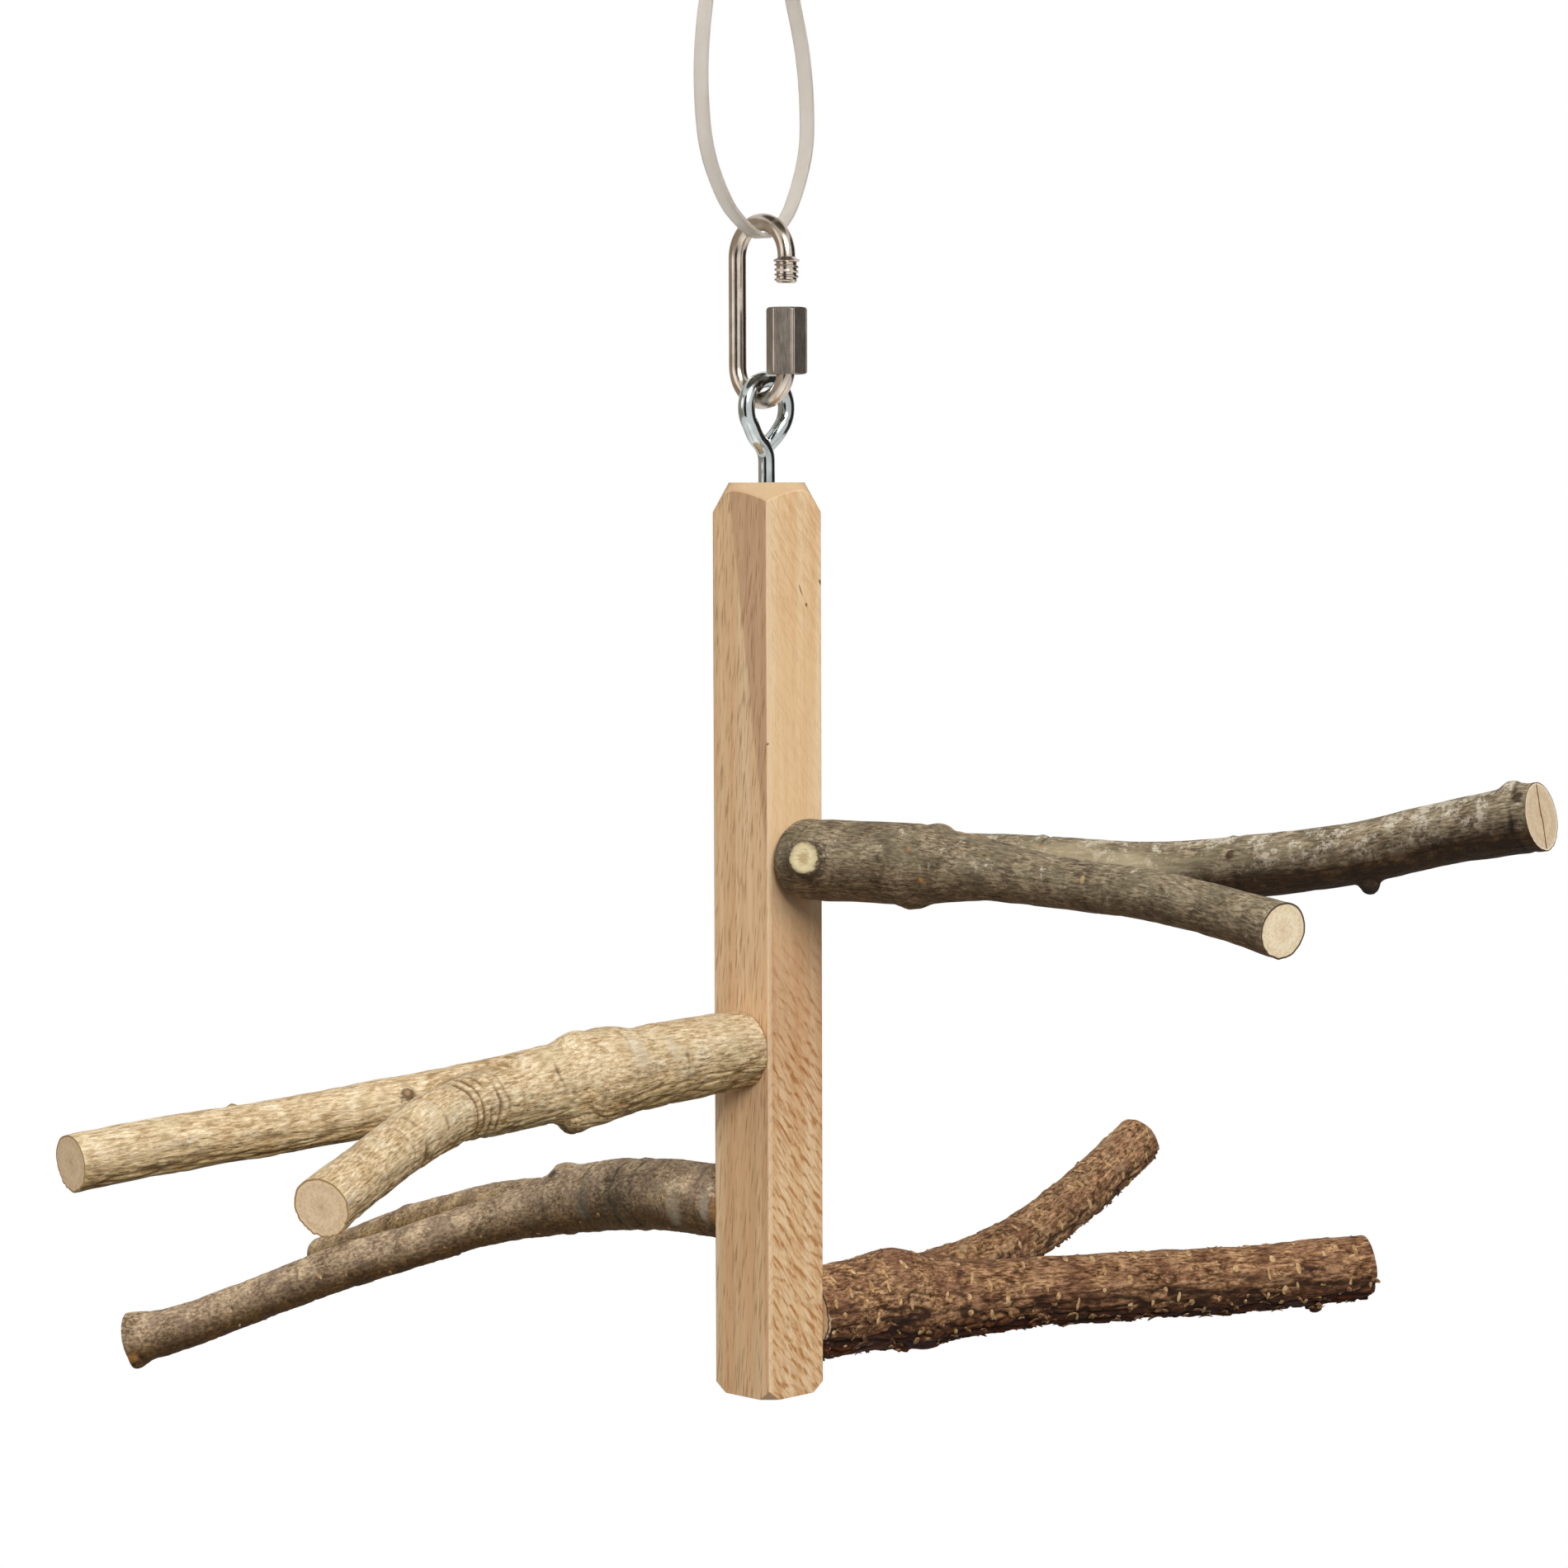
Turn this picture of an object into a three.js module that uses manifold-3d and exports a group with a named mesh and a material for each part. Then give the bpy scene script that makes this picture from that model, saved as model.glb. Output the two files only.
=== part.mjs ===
// Hanging branch perch for cage birds: a square post on an eye screw, a quick link and a plastic strap,
// with four forked natural branches. Millimetres, +Z up, origin under the top of the strap, where it hangs.
import * as THREE from 'three';
import { mergeVertices } from 'three/addons/utils/BufferGeometryUtils.js';
import Module from 'manifold-3d';

const wasm = await Module();
wasm.setup();

// Clearance between pieces that touch
const TOUCH_GAP = 0.3;

// Post, a square strip. The top is cut to an oval cone and the bottom to a round one
const POST_SIDE = 20;
const POST_LENGTH = 238;
const TOP_CUT_HEIGHT = 8;
const TOP_OVAL_LONG = 9.8;
const TOP_OVAL_SHORT = 4.3;
const TOP_SHALLOW_RUN = 16;
const TOP_CUT_TURN = 45;
const BOTTOM_CUT_HEIGHT = 2.8;
const BOTTOM_CUT_DEPTH = 2.4;

// Quick link, bent from round wire, with thicker threaded ends
const LINK_WIRE = 4.6;
const LINK_LEG_SPACING = 18;
const LINK_SIDE_SHIFT = -1.5;
const LINK_STRAIGHT = 27.7;
const LINK_THREAD = 6.4;
const LINK_THREAD_CORE = 5.2;
const LINK_PITCH = 1.25;
const UPPER_THREAD_LENGTH = 6.2;
const UPPER_THREAD_DROP = 0.7;
const GATE_GAP = 6.1;
const LOWER_END_IN_NUT = 1.5;
const NUT_LENGTH = 17.2;
const NUT_FLATS = 9;
const NUT_CORNER_CUT = 0.9;
const NUT_TURN = 2;

// Eye screw, bent from round wire
const EYE_WIRE = 4.4;
const EYE_ARC_RADIUS = 7.25;
const EYE_RISE = 19.2;
const EYE_NECK_RISE = 6.5;
const EYE_ARC_OVERRUN = 14;
const EYE_THREAD_LENGTH = 24;
const EYE_THREAD_CORE = 3.2;
const EYE_PITCH = 2.6;

// Strap, a flat band in the YZ plane, written from its head down the right strand, round the link and back
const STRAP_WIDTH = 4.7;
const STRAP_THICKNESS = 1.1;
const STRAP_LOWEST = -86;
const STRAP_ROUTE = [
  [9.3, -22.6], [10.2, -25.6], [13.6, -38.5], [15.1, -52], [14.5, -64.2], [9.8, -77], [4.6, -83.6],
  [LINK_SIDE_SHIFT, STRAP_LOWEST], [-7.6, -83.6], [-14.8, -77], [-21, -64.2], [-22.9, -48], [-21.8, -32],
  [-18.4, -17.5], [-13.4, -7.4], [-7, -1.2], [0, 0.55], [4.6, -3.2], [6.6, -10.4], [7.2, -14.7],
];
const HEAD_LENGTH = 7.2;
const HEAD_WIDTH = 8;
const HEAD_THICKNESS = 5.2;

// Dowel screws, half in the post and half in a branch
const DOWEL_DIAMETER = 5;
const DOWEL_CORE = 3.6;
const DOWEL_PITCH = 3.2;
const DOWEL_IN_POST = 13;
const DOWEL_IN_BRANCH = 20;

// Where the branches are fastened, under the top of the post or over its bottom, and how far they reach
const RIGHT_UPPER_DROP = 97;
const RIGHT_UPPER_REACH = 199.6;
const LEFT_UPPER_DROP = 147;
const LEFT_UPPER_REACH = 195;
const LEFT_LOWER_RISE = 48.7;
const LEFT_LOWER_REACH = 172;
const RIGHT_LOWER_RISE = 18.5;
const RIGHT_LOWER_REACH = 155;

// Branches. A station is [percent of the reach out from the post face, sideways, up, diameter]
const BRANCHES = [
  {
    name: 'branch_right_upper', turn: 0, drop: RIGHT_UPPER_DROP,
    reach: RIGHT_UPPER_REACH, colour: 0x766a5a,
    main: [
      [-1, 0, 0, 10], [0.3, 0, 0, 15], [1.5, 0, 0, 19], [3.51, 0, 0, 20.8], [13.03, 0, 0.6, 20.6],
      [21.54, 0, 1, 20.8], [34.57, -1, 0.8, 14.5], [49.6, -4, -0.3, 12.4], [64.13, -8, -0.8, 12.2],
      [78.16, -12, -3.6, 12.4], [86.17, -15, -5.5, 13.3],
    ],
    fork: [
      [18.04, 1, 1, 14], [28.06, 4, 1.3, 16], [34.57, 8, 1.5, 16], [52.1, 20, 1.4, 15.2],
      [66.63, 30, 4.6, 15.2], [77.66, 37, 8.3, 15], [87.53, 42.5, 13.6, 15], [100, 46.5, 18.6, 16.3],
    ],
    knots: [[6.86, -9.2, 1.2, 8.5], [25.05, 1, 9.2, 5], [96.69, 44.5, 24, 5.5], [78.91, 36.5, 0.6, 4.8]],
  },
  {
    name: 'branch_left_upper', turn: -90, drop: LEFT_UPPER_DROP,
    reach: LEFT_UPPER_REACH, colour: 0xc2a67c,
    main: [
      [-1.03, 0, 0, 20.8], [7.18, 0, -0.2, 20.8], [14.87, 0, -0.8, 21.2], [23.08, 0, -1.6, 21],
      [30.77, -1, -1.2, 18], [42.05, -3, -1.3, 13.8], [53.33, -8, -3.3, 13.5], [65.13, -12, -5, 13.3],
      [76.41, -16, -6.7, 13.2], [87.18, -20, -8, 13.4], [100, -23, -9.9, 13.6],
    ],
    fork: [
      [20.51, 0, -1.8, 18], [34.87, 0.5, -3, 17.4], [44.1, 2, -4.3, 16.4], [51.03, 5, -4.6, 15.8],
      [58.97, 11, -6, 15], [66.82, 17, -9.2, 14], [74.26, 22.5, -12.9, 13.9], [83.95, 30, -17.8, 14.5],
    ],
    knots: [[28.21, 0, 6, 9.5], [31.28, 2, -11, 8.5], [56.41, -3.5, -1.2, 5]],
  },
  {
    name: 'branch_left_lower', turn: 180, drop: POST_LENGTH - LEFT_LOWER_RISE,
    reach: LEFT_LOWER_REACH, colour: 0x6a5a4c,
    main: [
      [-1.16, 0, 0, 19.6], [5.81, 0, -0.5, 19.6], [18.02, 0, -1.4, 19.1], [27.33, 0, -3.3, 19.4],
      [36.05, 2, -6.2, 18.6], [49.42, 12, -13.4, 12.6], [59.88, 26, -20.9, 12.1],
      [70.93, 40, -28.7, 12.6], [83.14, 53, -38.5, 11.9], [94.77, 66, -47.6, 12.8],
      [100, 71.4, -50, 14.6],
    ],
    fork: [
      [30.23, 0, -4.6, 13], [41.86, 0, -7.6, 13.4], [55.81, 1, -11.8, 12.4], [75, 4, -21.2, 11.7],
      [91.1, 6.5, -31.4, 11.4], [97.09, 7.5, -34.4, 11],
    ],
    knots: [[38.37, 3, 1.5, 6.5], [76.74, 3.5, -17.5, 5], [98.49, 72, -55, 6]],
  },
  {
    name: 'branch_right_lower', turn: 90, drop: POST_LENGTH - RIGHT_LOWER_RISE,
    reach: RIGHT_LOWER_REACH, colour: 0x6c4d3a,
    main: [
      [-1.29, 0, 0, 23.6], [7.1, 0, -0.5, 24.6], [17.42, 0, -0.5, 24.8], [27.1, -2, -2, 24.6],
      [39.35, -14, -1.2, 19.4], [50.97, -28, -0.1, 18.9], [64.52, -40, 0.1, 18.5],
      [78.06, -52, 0.3, 18.2], [92.26, -63, 0.9, 18], [99.55, -69, 1.4, 17.6],
    ],
    fork: [
      [23.23, 1, 1.6, 15], [38.71, 1, 3.6, 14.6], [50.97, 2, 5.6, 14.4], [66.45, 5, 10.4, 14.3],
      [80.65, 9, 16.9, 14.1], [100, 14, 27.7, 14.2],
    ],
    knots: [[23.87, -2, 9, 9], [28.39, -6, -9.6, 9], [90.32, -63, -7.4, 5]],
  },
];

// Facets round a wire, a limb and a bore
const WIRE_SIDES = 12;
const LIMB_SIDES = 14;
const BORE_SIDES = 16;
const LIMB_STEP = 8;

const beech = new THREE.MeshStandardMaterial({ color: 0xd8b287, roughness: 0.7, metalness: 0 });
const stainless = new THREE.MeshStandardMaterial({ color: 0x9a8e7f, roughness: 0.25, metalness: 1 });
const dullSteel = new THREE.MeshStandardMaterial({ color: 0x746c62, roughness: 0.5, metalness: 1 });
const zinc = new THREE.MeshStandardMaterial({ color: 0x9fb0b3, roughness: 0.2, metalness: 1 });
const screwSteel = new THREE.MeshStandardMaterial({ color: 0xb9a66a, roughness: 0.4, metalness: 1 });
const nylon = new THREE.MeshStandardMaterial({ color: 0xd6cabb, roughness: 0.45, metalness: 0 });

// A closed solid from the positions of a geometry alone
function solid(geometry) {
  const plain = new THREE.BufferGeometry();
  plain.setAttribute('position', geometry.getAttribute('position').clone());
  if (geometry.index) plain.setIndex(geometry.index.clone());
  const merged = mergeVertices(plain, 1e-4);
  return new wasm.Manifold(new wasm.Mesh({
    numProp: 3,
    vertProperties: new Float32Array(merged.getAttribute('position').array),
    triVerts: new Uint32Array(merged.index.array),
  }));
}

function geometryOf(manifold) {
  const mesh = manifold.getMesh();
  const geometry = new THREE.BufferGeometry();
  geometry.setAttribute('position', new THREE.BufferAttribute(mesh.vertProperties.slice(), 3));
  geometry.setIndex(new THREE.BufferAttribute(mesh.triVerts.slice(), 1));
  geometry.computeVertexNormals();
  return geometry;
}

function named(name, geometry, material) {
  const mesh = new THREE.Mesh(geometry, material);
  mesh.name = name;
  return mesh;
}

// A body from closed rings of points, each ring in the same turning sense, with flat ends
function ringBody(rings) {
  const sides = rings[0].length;
  const points = rings.flat();
  const index = [];
  for (let ring = 0; ring + 1 < rings.length; ring += 1) {
    for (let side = 0; side < sides; side += 1) {
      const here = ring * sides + side;
      const next = ring * sides + (side + 1) % sides;
      index.push(here, next, next + sides, here, next + sides, here + sides);
    }
  }
  const last = (rings.length - 1) * sides;
  for (let side = 1; side + 1 < sides; side += 1) {
    index.push(0, side + 1, side);
    index.push(last, last + side, last + side + 1);
  }
  const geometry = new THREE.BufferGeometry().setFromPoints(points);
  geometry.setIndex(index);
  return geometry;
}

// A tapering limb through its stations
function limb(stations, reach) {
  const curve = new THREE.CatmullRomCurve3(
    stations.map(([share, y, z]) => new THREE.Vector3(share * reach / 100, y, z)));
  const steps = Math.round(curve.getLength() / LIMB_STEP);
  const frames = curve.computeFrenetFrames(steps, false);
  const rings = [];
  for (let step = 0; step <= steps; step += 1) {
    const at = curve.getUtoTmapping(step / steps);
    const place = at * (stations.length - 1);
    const low = Math.min(Math.floor(place), stations.length - 2);
    const radius = THREE.MathUtils.lerp(stations[low][3], stations[low + 1][3], place - low) / 2;
    const centre = curve.getPoint(at);
    const ring = [];
    for (let side = 0; side < LIMB_SIDES; side += 1) {
      const angle = (side / LIMB_SIDES) * 2 * Math.PI;
      ring.push(centre.clone()
        .addScaledVector(frames.normals[step], Math.cos(angle) * radius)
        .addScaledVector(frames.binormals[step], Math.sin(angle) * radius));
    }
    rings.push(ring);
  }
  return ringBody(rings);
}

// A wire of one diameter along a curve
function wire(points, diameter, steps) {
  const section = new THREE.Shape();
  section.absarc(0, 0, diameter / 2, 0, 2 * Math.PI, false);
  return new THREE.ExtrudeGeometry(section, {
    steps,
    bevelEnabled: false,
    curveSegments: WIRE_SIDES / 2,
    extrudePath: new THREE.CatmullRomCurve3(points),
  });
}

// A rod along +Z with ridges for its thread, ending in a point if tip is given
function threadedRod(length, outer, core, pitch, tip) {
  const profile = [new THREE.Vector2(0, 0), new THREE.Vector2(core / 2, 0)];
  const ridges = Math.floor((length - tip) / pitch);
  for (let ridge = 0; ridge < ridges; ridge += 1) {
    profile.push(new THREE.Vector2(core / 2, (ridge + 0.2) * pitch));
    profile.push(new THREE.Vector2(outer / 2, (ridge + 0.5) * pitch));
    profile.push(new THREE.Vector2(core / 2, (ridge + 0.8) * pitch));
  }
  profile.push(new THREE.Vector2(core / 2, length - tip));
  profile.push(new THREE.Vector2(0, length));
  return new THREE.LatheGeometry(profile, WIRE_SIDES).rotateX(Math.PI / 2);
}

// A round hole of a given depth, from its mouth at the origin along -Z
function bore(diameter, depth) {
  const radius = diameter / 2 + TOUCH_GAP;
  const over = POST_SIDE;
  return new THREE.CylinderGeometry(radius, radius, depth + TOUCH_GAP + over, BORE_SIDES)
    .rotateX(Math.PI / 2)
    .translate(0, 0, (over - depth - TOUCH_GAP) / 2);
}

function ellipseRing(long, short, z, turn) {
  const ring = [];
  for (let side = 0; side < 48; side += 1) {
    const angle = (side / 48) * 2 * Math.PI;
    ring.push(new THREE.Vector3(long * Math.cos(angle), short * Math.sin(angle), z)
      .applyAxisAngle(new THREE.Vector3(0, 0, 1), THREE.MathUtils.degToRad(turn)));
  }
  return ring;
}

// Post, from its top at z 0 down, with bores for the eye screw and the dowel screws
function makePost() {
  const corner = POST_SIDE * Math.SQRT1_2;
  const strip = solid(new THREE.BoxGeometry(POST_SIDE, POST_SIDE, POST_LENGTH)
    .translate(0, 0, -POST_LENGTH / 2));
  const waist = corner + 0.05;
  const ends = solid(ringBody([
    ellipseRing(corner - BOTTOM_CUT_DEPTH, corner - BOTTOM_CUT_DEPTH, -POST_LENGTH, 0),
    ellipseRing(waist, waist, BOTTOM_CUT_HEIGHT - POST_LENGTH, 0),
    ellipseRing(waist, TOP_OVAL_SHORT + TOP_SHALLOW_RUN, -TOP_CUT_HEIGHT, TOP_CUT_TURN),
    ellipseRing(TOP_OVAL_LONG, TOP_OVAL_SHORT, 0, TOP_CUT_TURN),
  ]));
  let body = strip.intersect(ends).subtract(solid(bore(EYE_WIRE, EYE_THREAD_LENGTH)));
  for (const { turn, drop } of BRANCHES) {
    const hole = bore(DOWEL_DIAMETER, DOWEL_IN_POST)
      .rotateY(Math.PI / 2)
      .translate(POST_SIDE / 2, 0, -drop)
      .rotateZ(THREE.MathUtils.degToRad(turn));
    body = body.subtract(solid(hole));
  }
  return geometryOf(body);
}

// Branch, out of the post face along +X, sawn off square at the face, with a bore for its dowel screw
function makeBranch({ reach, main, fork, knots }) {
  let body = solid(limb(main, reach)).add(solid(limb(fork, reach)));
  for (const [share, y, z, diameter] of knots) {
    const knot = new THREE.IcosahedronGeometry(diameter / 2, 1).translate(share * reach / 100, y, z);
    body = body.add(solid(knot));
  }
  const hole = bore(DOWEL_DIAMETER, DOWEL_IN_BRANCH).rotateY(-Math.PI / 2);
  const waste = new THREE.BoxGeometry(2 * POST_SIDE, 2 * POST_SIDE, 2 * POST_SIDE)
    .translate(TOUCH_GAP - POST_SIDE, 0, 0);
  return geometryOf(body.subtract(solid(hole)).subtract(solid(waste)));
}

// Dowel screw along +X, with its middle at the post face
function makeDowel() {
  const half = (length) => threadedRod(length, DOWEL_DIAMETER, DOWEL_CORE, DOWEL_PITCH, DOWEL_CORE);
  const outer = solid(half(DOWEL_IN_BRANCH).rotateY(Math.PI / 2));
  const inner = solid(half(DOWEL_IN_POST).rotateY(-Math.PI / 2));
  const collar = solid(new THREE.CylinderGeometry(DOWEL_CORE / 2, DOWEL_CORE / 2, 2, WIRE_SIDES)
    .rotateZ(Math.PI / 2));
  return geometryOf(outer.add(inner).add(collar));
}

// Eye screw in the YZ plane, with the post's top at z 0. The wire ends behind its own neck
function makeEye() {
  const points = [new THREE.Vector3(0, 0, -2), new THREE.Vector3(0, 0, 3)];
  points.push(new THREE.Vector3(0, -0.2, EYE_NECK_RISE));
  points.push(new THREE.Vector3(0, -2.3, EYE_NECK_RISE + 4));
  for (let degrees = 180 + EYE_ARC_OVERRUN; degrees >= -EYE_ARC_OVERRUN; degrees -= 16) {
    const angle = THREE.MathUtils.degToRad(degrees);
    points.push(new THREE.Vector3(
      0, EYE_ARC_RADIUS * Math.cos(angle), EYE_RISE + EYE_ARC_RADIUS * Math.sin(angle)));
  }
  points.push(new THREE.Vector3(-1, 4.6, EYE_NECK_RISE + 5.7));
  points.push(new THREE.Vector3(-2.6, 2.9, EYE_NECK_RISE + 2.7));
  const shank = threadedRod(EYE_THREAD_LENGTH, EYE_WIRE, EYE_THREAD_CORE, EYE_PITCH, EYE_WIRE);
  return geometryOf(solid(wire(points, EYE_WIRE, 46)).add(solid(shank.rotateX(Math.PI))));
}

// Quick link in the XZ plane, with the middle of its top arc at the origin. The gate is in the +X leg
const LEG = LINK_LEG_SPACING / 2;
const UPPER_THREAD_END = -UPPER_THREAD_DROP - UPPER_THREAD_LENGTH;
const NUT_TOP = UPPER_THREAD_END - GATE_GAP;
const LOWER_THREAD_END = NUT_TOP - LOWER_END_IN_NUT;

function makeLink() {
  const points = [new THREE.Vector3(LEG, 0, UPPER_THREAD_END + 0.5)];
  for (let degrees = 0; degrees <= 180; degrees += 15) {
    const angle = THREE.MathUtils.degToRad(degrees);
    points.push(new THREE.Vector3(LEG * Math.cos(angle), 0, LEG * Math.sin(angle)));
  }
  for (let degrees = 180; degrees <= 360; degrees += 15) {
    const angle = THREE.MathUtils.degToRad(degrees);
    points.push(new THREE.Vector3(LEG * Math.cos(angle), 0, LEG * Math.sin(angle) - LINK_STRAIGHT));
  }
  points.push(new THREE.Vector3(LEG, 0, LOWER_THREAD_END - 0.5));
  const rod = (length) => threadedRod(length, LINK_THREAD, LINK_THREAD_CORE, LINK_PITCH, 0);
  const upper = solid(rod(UPPER_THREAD_LENGTH).translate(LEG, 0, UPPER_THREAD_END));
  const lowerLength = LOWER_THREAD_END + LINK_STRAIGHT;
  const lower = solid(rod(lowerLength).translate(LEG, 0, -LINK_STRAIGHT));
  return geometryOf(solid(wire(points, LINK_WIRE, 64)).add(upper).add(lower));
}

// Sleeve nut round +Z, with its top at z 0 and its corners turned down at both ends
function makeNut() {
  const corner = NUT_FLATS / Math.sqrt(3);
  const prism = new THREE.CylinderGeometry(corner, corner, NUT_LENGTH, 6)
    .rotateX(Math.PI / 2)
    .rotateZ(THREE.MathUtils.degToRad(30 + NUT_TURN))
    .translate(0, 0, -NUT_LENGTH / 2);
  const edge = corner - NUT_CORNER_CUT;
  const turned = new THREE.LatheGeometry([
    new THREE.Vector2(0, -NUT_LENGTH),
    new THREE.Vector2(edge, -NUT_LENGTH),
    new THREE.Vector2(corner + 0.05, -NUT_LENGTH + NUT_CORNER_CUT),
    new THREE.Vector2(corner + 0.05, -NUT_CORNER_CUT),
    new THREE.Vector2(edge, 0),
    new THREE.Vector2(0, 0),
  ], 36).rotateX(Math.PI / 2);
  const hole = bore(LINK_THREAD, NUT_LENGTH + POST_SIDE);
  return geometryOf(solid(prism).intersect(solid(turned)).subtract(solid(hole)));
}

// Strap: the route thickened in its own plane, then given its width along X
function makeStrap() {
  const route = new THREE.SplineCurve(STRAP_ROUTE.map(([y, z]) => new THREE.Vector2(y, z)));
  const inner = [];
  const outer = [];
  const steps = 96;
  for (let step = 0; step <= steps; step += 1) {
    const place = route.getPointAt(step / steps);
    const along = route.getTangentAt(step / steps);
    const across = new THREE.Vector2(-along.y, along.x).multiplyScalar(STRAP_THICKNESS / 2);
    inner.push(place.clone().add(across));
    outer.unshift(place.clone().sub(across));
  }
  return new THREE.ExtrudeGeometry(new THREE.Shape([...inner, ...outer]), {
    depth: STRAP_WIDTH, bevelEnabled: false, steps: 1,
  }).translate(0, 0, -STRAP_WIDTH / 2).applyMatrix4(new THREE.Matrix4().set(
    0, 0, 1, 0,
    1, 0, 0, 0,
    0, 1, 0, 0,
    0, 0, 0, 1,
  ));
}

const perch = new THREE.Group();
perch.add(named('post', makePost(), beech));
perch.add(named('eye_screw', makeEye(), zinc));
BRANCHES.forEach((branch, place) => {
  const arm = new THREE.Group();
  const turn = THREE.MathUtils.degToRad(branch.turn);
  arm.rotation.z = turn;
  arm.position.set(Math.cos(turn) * POST_SIDE / 2, Math.sin(turn) * POST_SIDE / 2, -branch.drop);
  const bark = new THREE.MeshStandardMaterial({ color: branch.colour, roughness: 0.9, metalness: 0 });
  arm.add(named(branch.name, makeBranch(branch), bark));
  arm.add(named(`dowel_screw_${place + 1}`, makeDowel(), screwSteel));
  perch.add(arm);
});

// The flat strap lies across the inside of the link's top arc, so its two edges touch first
const arcInside = LEG - LINK_WIRE / 2;
const edgeRise = arcInside - Math.sqrt(arcInside ** 2 - (STRAP_WIDTH / 2) ** 2);
const linkSeat = STRAP_LOWEST + STRAP_THICKNESS / 2 + TOUCH_GAP + edgeRise - arcInside;
const link = new THREE.Group();
link.position.set(0, LINK_SIDE_SHIFT, linkSeat);
link.add(named('link_body', makeLink(), stainless));
const nut = named('link_nut', makeNut(), dullSteel);
nut.position.set(LEG, 0, NUT_TOP);
link.add(nut);

// The link hangs a little to one side in the eye, and its wire touches the inside of the eye there
const eyePlay = EYE_ARC_RADIUS - EYE_WIRE / 2 - LINK_WIRE / 2 - TOUCH_GAP;
const eyeDrop = Math.sqrt(eyePlay ** 2 - LINK_SIDE_SHIFT ** 2);
perch.position.z = linkSeat - LINK_STRAIGHT - LEG - eyeDrop - EYE_RISE;

const [headLow, headHigh] = [STRAP_ROUTE[0], STRAP_ROUTE[STRAP_ROUTE.length - 1]];
const head = named('strap_head', new THREE.BoxGeometry(HEAD_WIDTH, HEAD_THICKNESS, HEAD_LENGTH), nylon);
head.position.set(0, (headLow[0] + headHigh[0]) / 2, (headLow[1] + headHigh[1]) / 2);
head.rotation.x = Math.atan2(headLow[0] - headHigh[0], headHigh[1] - headLow[1]);

const birdPerch = new THREE.Group();
birdPerch.add(named('hanging_strap', makeStrap(), nylon));
birdPerch.add(head, link, perch);

export default birdPerch;
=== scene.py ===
import functools
import itertools
import math
import re

import bmesh
import bpy
import numpy as np
from mathutils import Matrix, Vector


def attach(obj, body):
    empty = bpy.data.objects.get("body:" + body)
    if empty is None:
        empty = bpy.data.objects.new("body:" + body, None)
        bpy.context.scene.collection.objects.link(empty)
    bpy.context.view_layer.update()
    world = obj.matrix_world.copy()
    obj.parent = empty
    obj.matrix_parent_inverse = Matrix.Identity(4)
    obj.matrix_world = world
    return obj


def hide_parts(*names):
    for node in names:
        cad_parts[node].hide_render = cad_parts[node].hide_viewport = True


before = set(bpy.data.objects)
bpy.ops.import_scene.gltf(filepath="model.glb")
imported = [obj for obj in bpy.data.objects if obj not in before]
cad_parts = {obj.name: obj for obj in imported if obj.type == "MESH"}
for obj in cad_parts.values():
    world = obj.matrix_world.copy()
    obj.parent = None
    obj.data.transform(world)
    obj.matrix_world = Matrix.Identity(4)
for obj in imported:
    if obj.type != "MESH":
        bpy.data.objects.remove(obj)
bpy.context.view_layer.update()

scene = bpy.context.scene
scene.view_settings.view_transform = "Standard"
mm = 0.001
root = math.sqrt(0.5)


def linear(hexText):
    parts = [int(hexText[k:k + 2], 16) / 255 for k in (1, 3, 5)]
    return tuple(p / 12.92 if p <= 0.04045 else ((p + 0.055) / 1.055) ** 2.4 for p in parts) + (1.0,)


def addNode(tree, kind, *values, stops=(), out=None, **named):
    # values fill the open inputs in order, None leaves one as it is; a name like BaseColor is an input, others settings
    node = tree.nodes.new(kind if "Node" in kind else "ShaderNode" + kind)
    for key, value in named.items():
        if key[0].islower():
            setattr(node, key, value)
    pairs = list(zip([socket for socket in node.inputs if socket.enabled], values))
    pairs += [(node.inputs[re.sub("(?<=[a-z])(?=[A-Z])", " ", key)], value)
              for key, value in named.items() if key[0].isupper()]
    for socket, value in pairs:
        if isinstance(value, bpy.types.NodeSocket):
            tree.links.new(value, socket)
        elif value is not None:
            socket.default_value = linear(value) if str(value).startswith("#") else value      # "#..." is a colour
    for place, (at, colour) in enumerate(stops):
        marks = node.color_ramp.elements
        mark = marks[place] if place < 2 else marks.new(at)
        mark.position = at
        mark.color = linear(colour) if isinstance(colour, str) else (colour, colour, colour, 1)
    if out is None:
        return next((socket for socket in node.outputs if socket.enabled), None)
    return node.outputs if out == "all" else node.outputs[out]


def emptyTree(owner):      # clears the owner's nodes and gives addNode for its tree
    owner.use_nodes = True
    owner.node_tree.nodes.clear()
    return functools.partial(addNode, owner.node_tree)


def newMaterial(name):
    material = bpy.data.materials.new(name)
    return material, emptyTree(material)


def closeMaterial(material, add, tone, layers, relief, look, invert=False):
    # lays the tones over the ground in their order, then the bump (height, strength, depth in mm) and the shader
    for share, colour, *blend in layers:
        tone = add("Mix", share, tone, colour, data_type="RGBA", blend_type=blend[0] if blend else "MIX")
    height, strength, depth = relief
    bump = add("Bump", Height=height, Strength=strength, Distance=depth * mm, invert=invert)
    add("OutputMaterial", add("BsdfPrincipled", BaseColor=tone, Normal=bump, **look))
    return material


def newObject(name, data):
    thing = bpy.data.objects.new(name, data)
    scene.collection.objects.link(thing)
    return thing


def newPiece(name, mesh, body, slot, *nodes):
    piece = newObject(name, mesh)
    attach(piece, body)
    if nodes:
        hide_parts(*nodes)
    return piece


def plainMesh(thing):      # what an object's modifier makes of it; the object goes
    graph = bpy.context.evaluated_depsgraph_get()
    mesh = bpy.data.meshes.new_from_object(thing.evaluated_get(graph), depsgraph=graph)
    bpy.data.objects.remove(thing)
    return mesh


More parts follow.
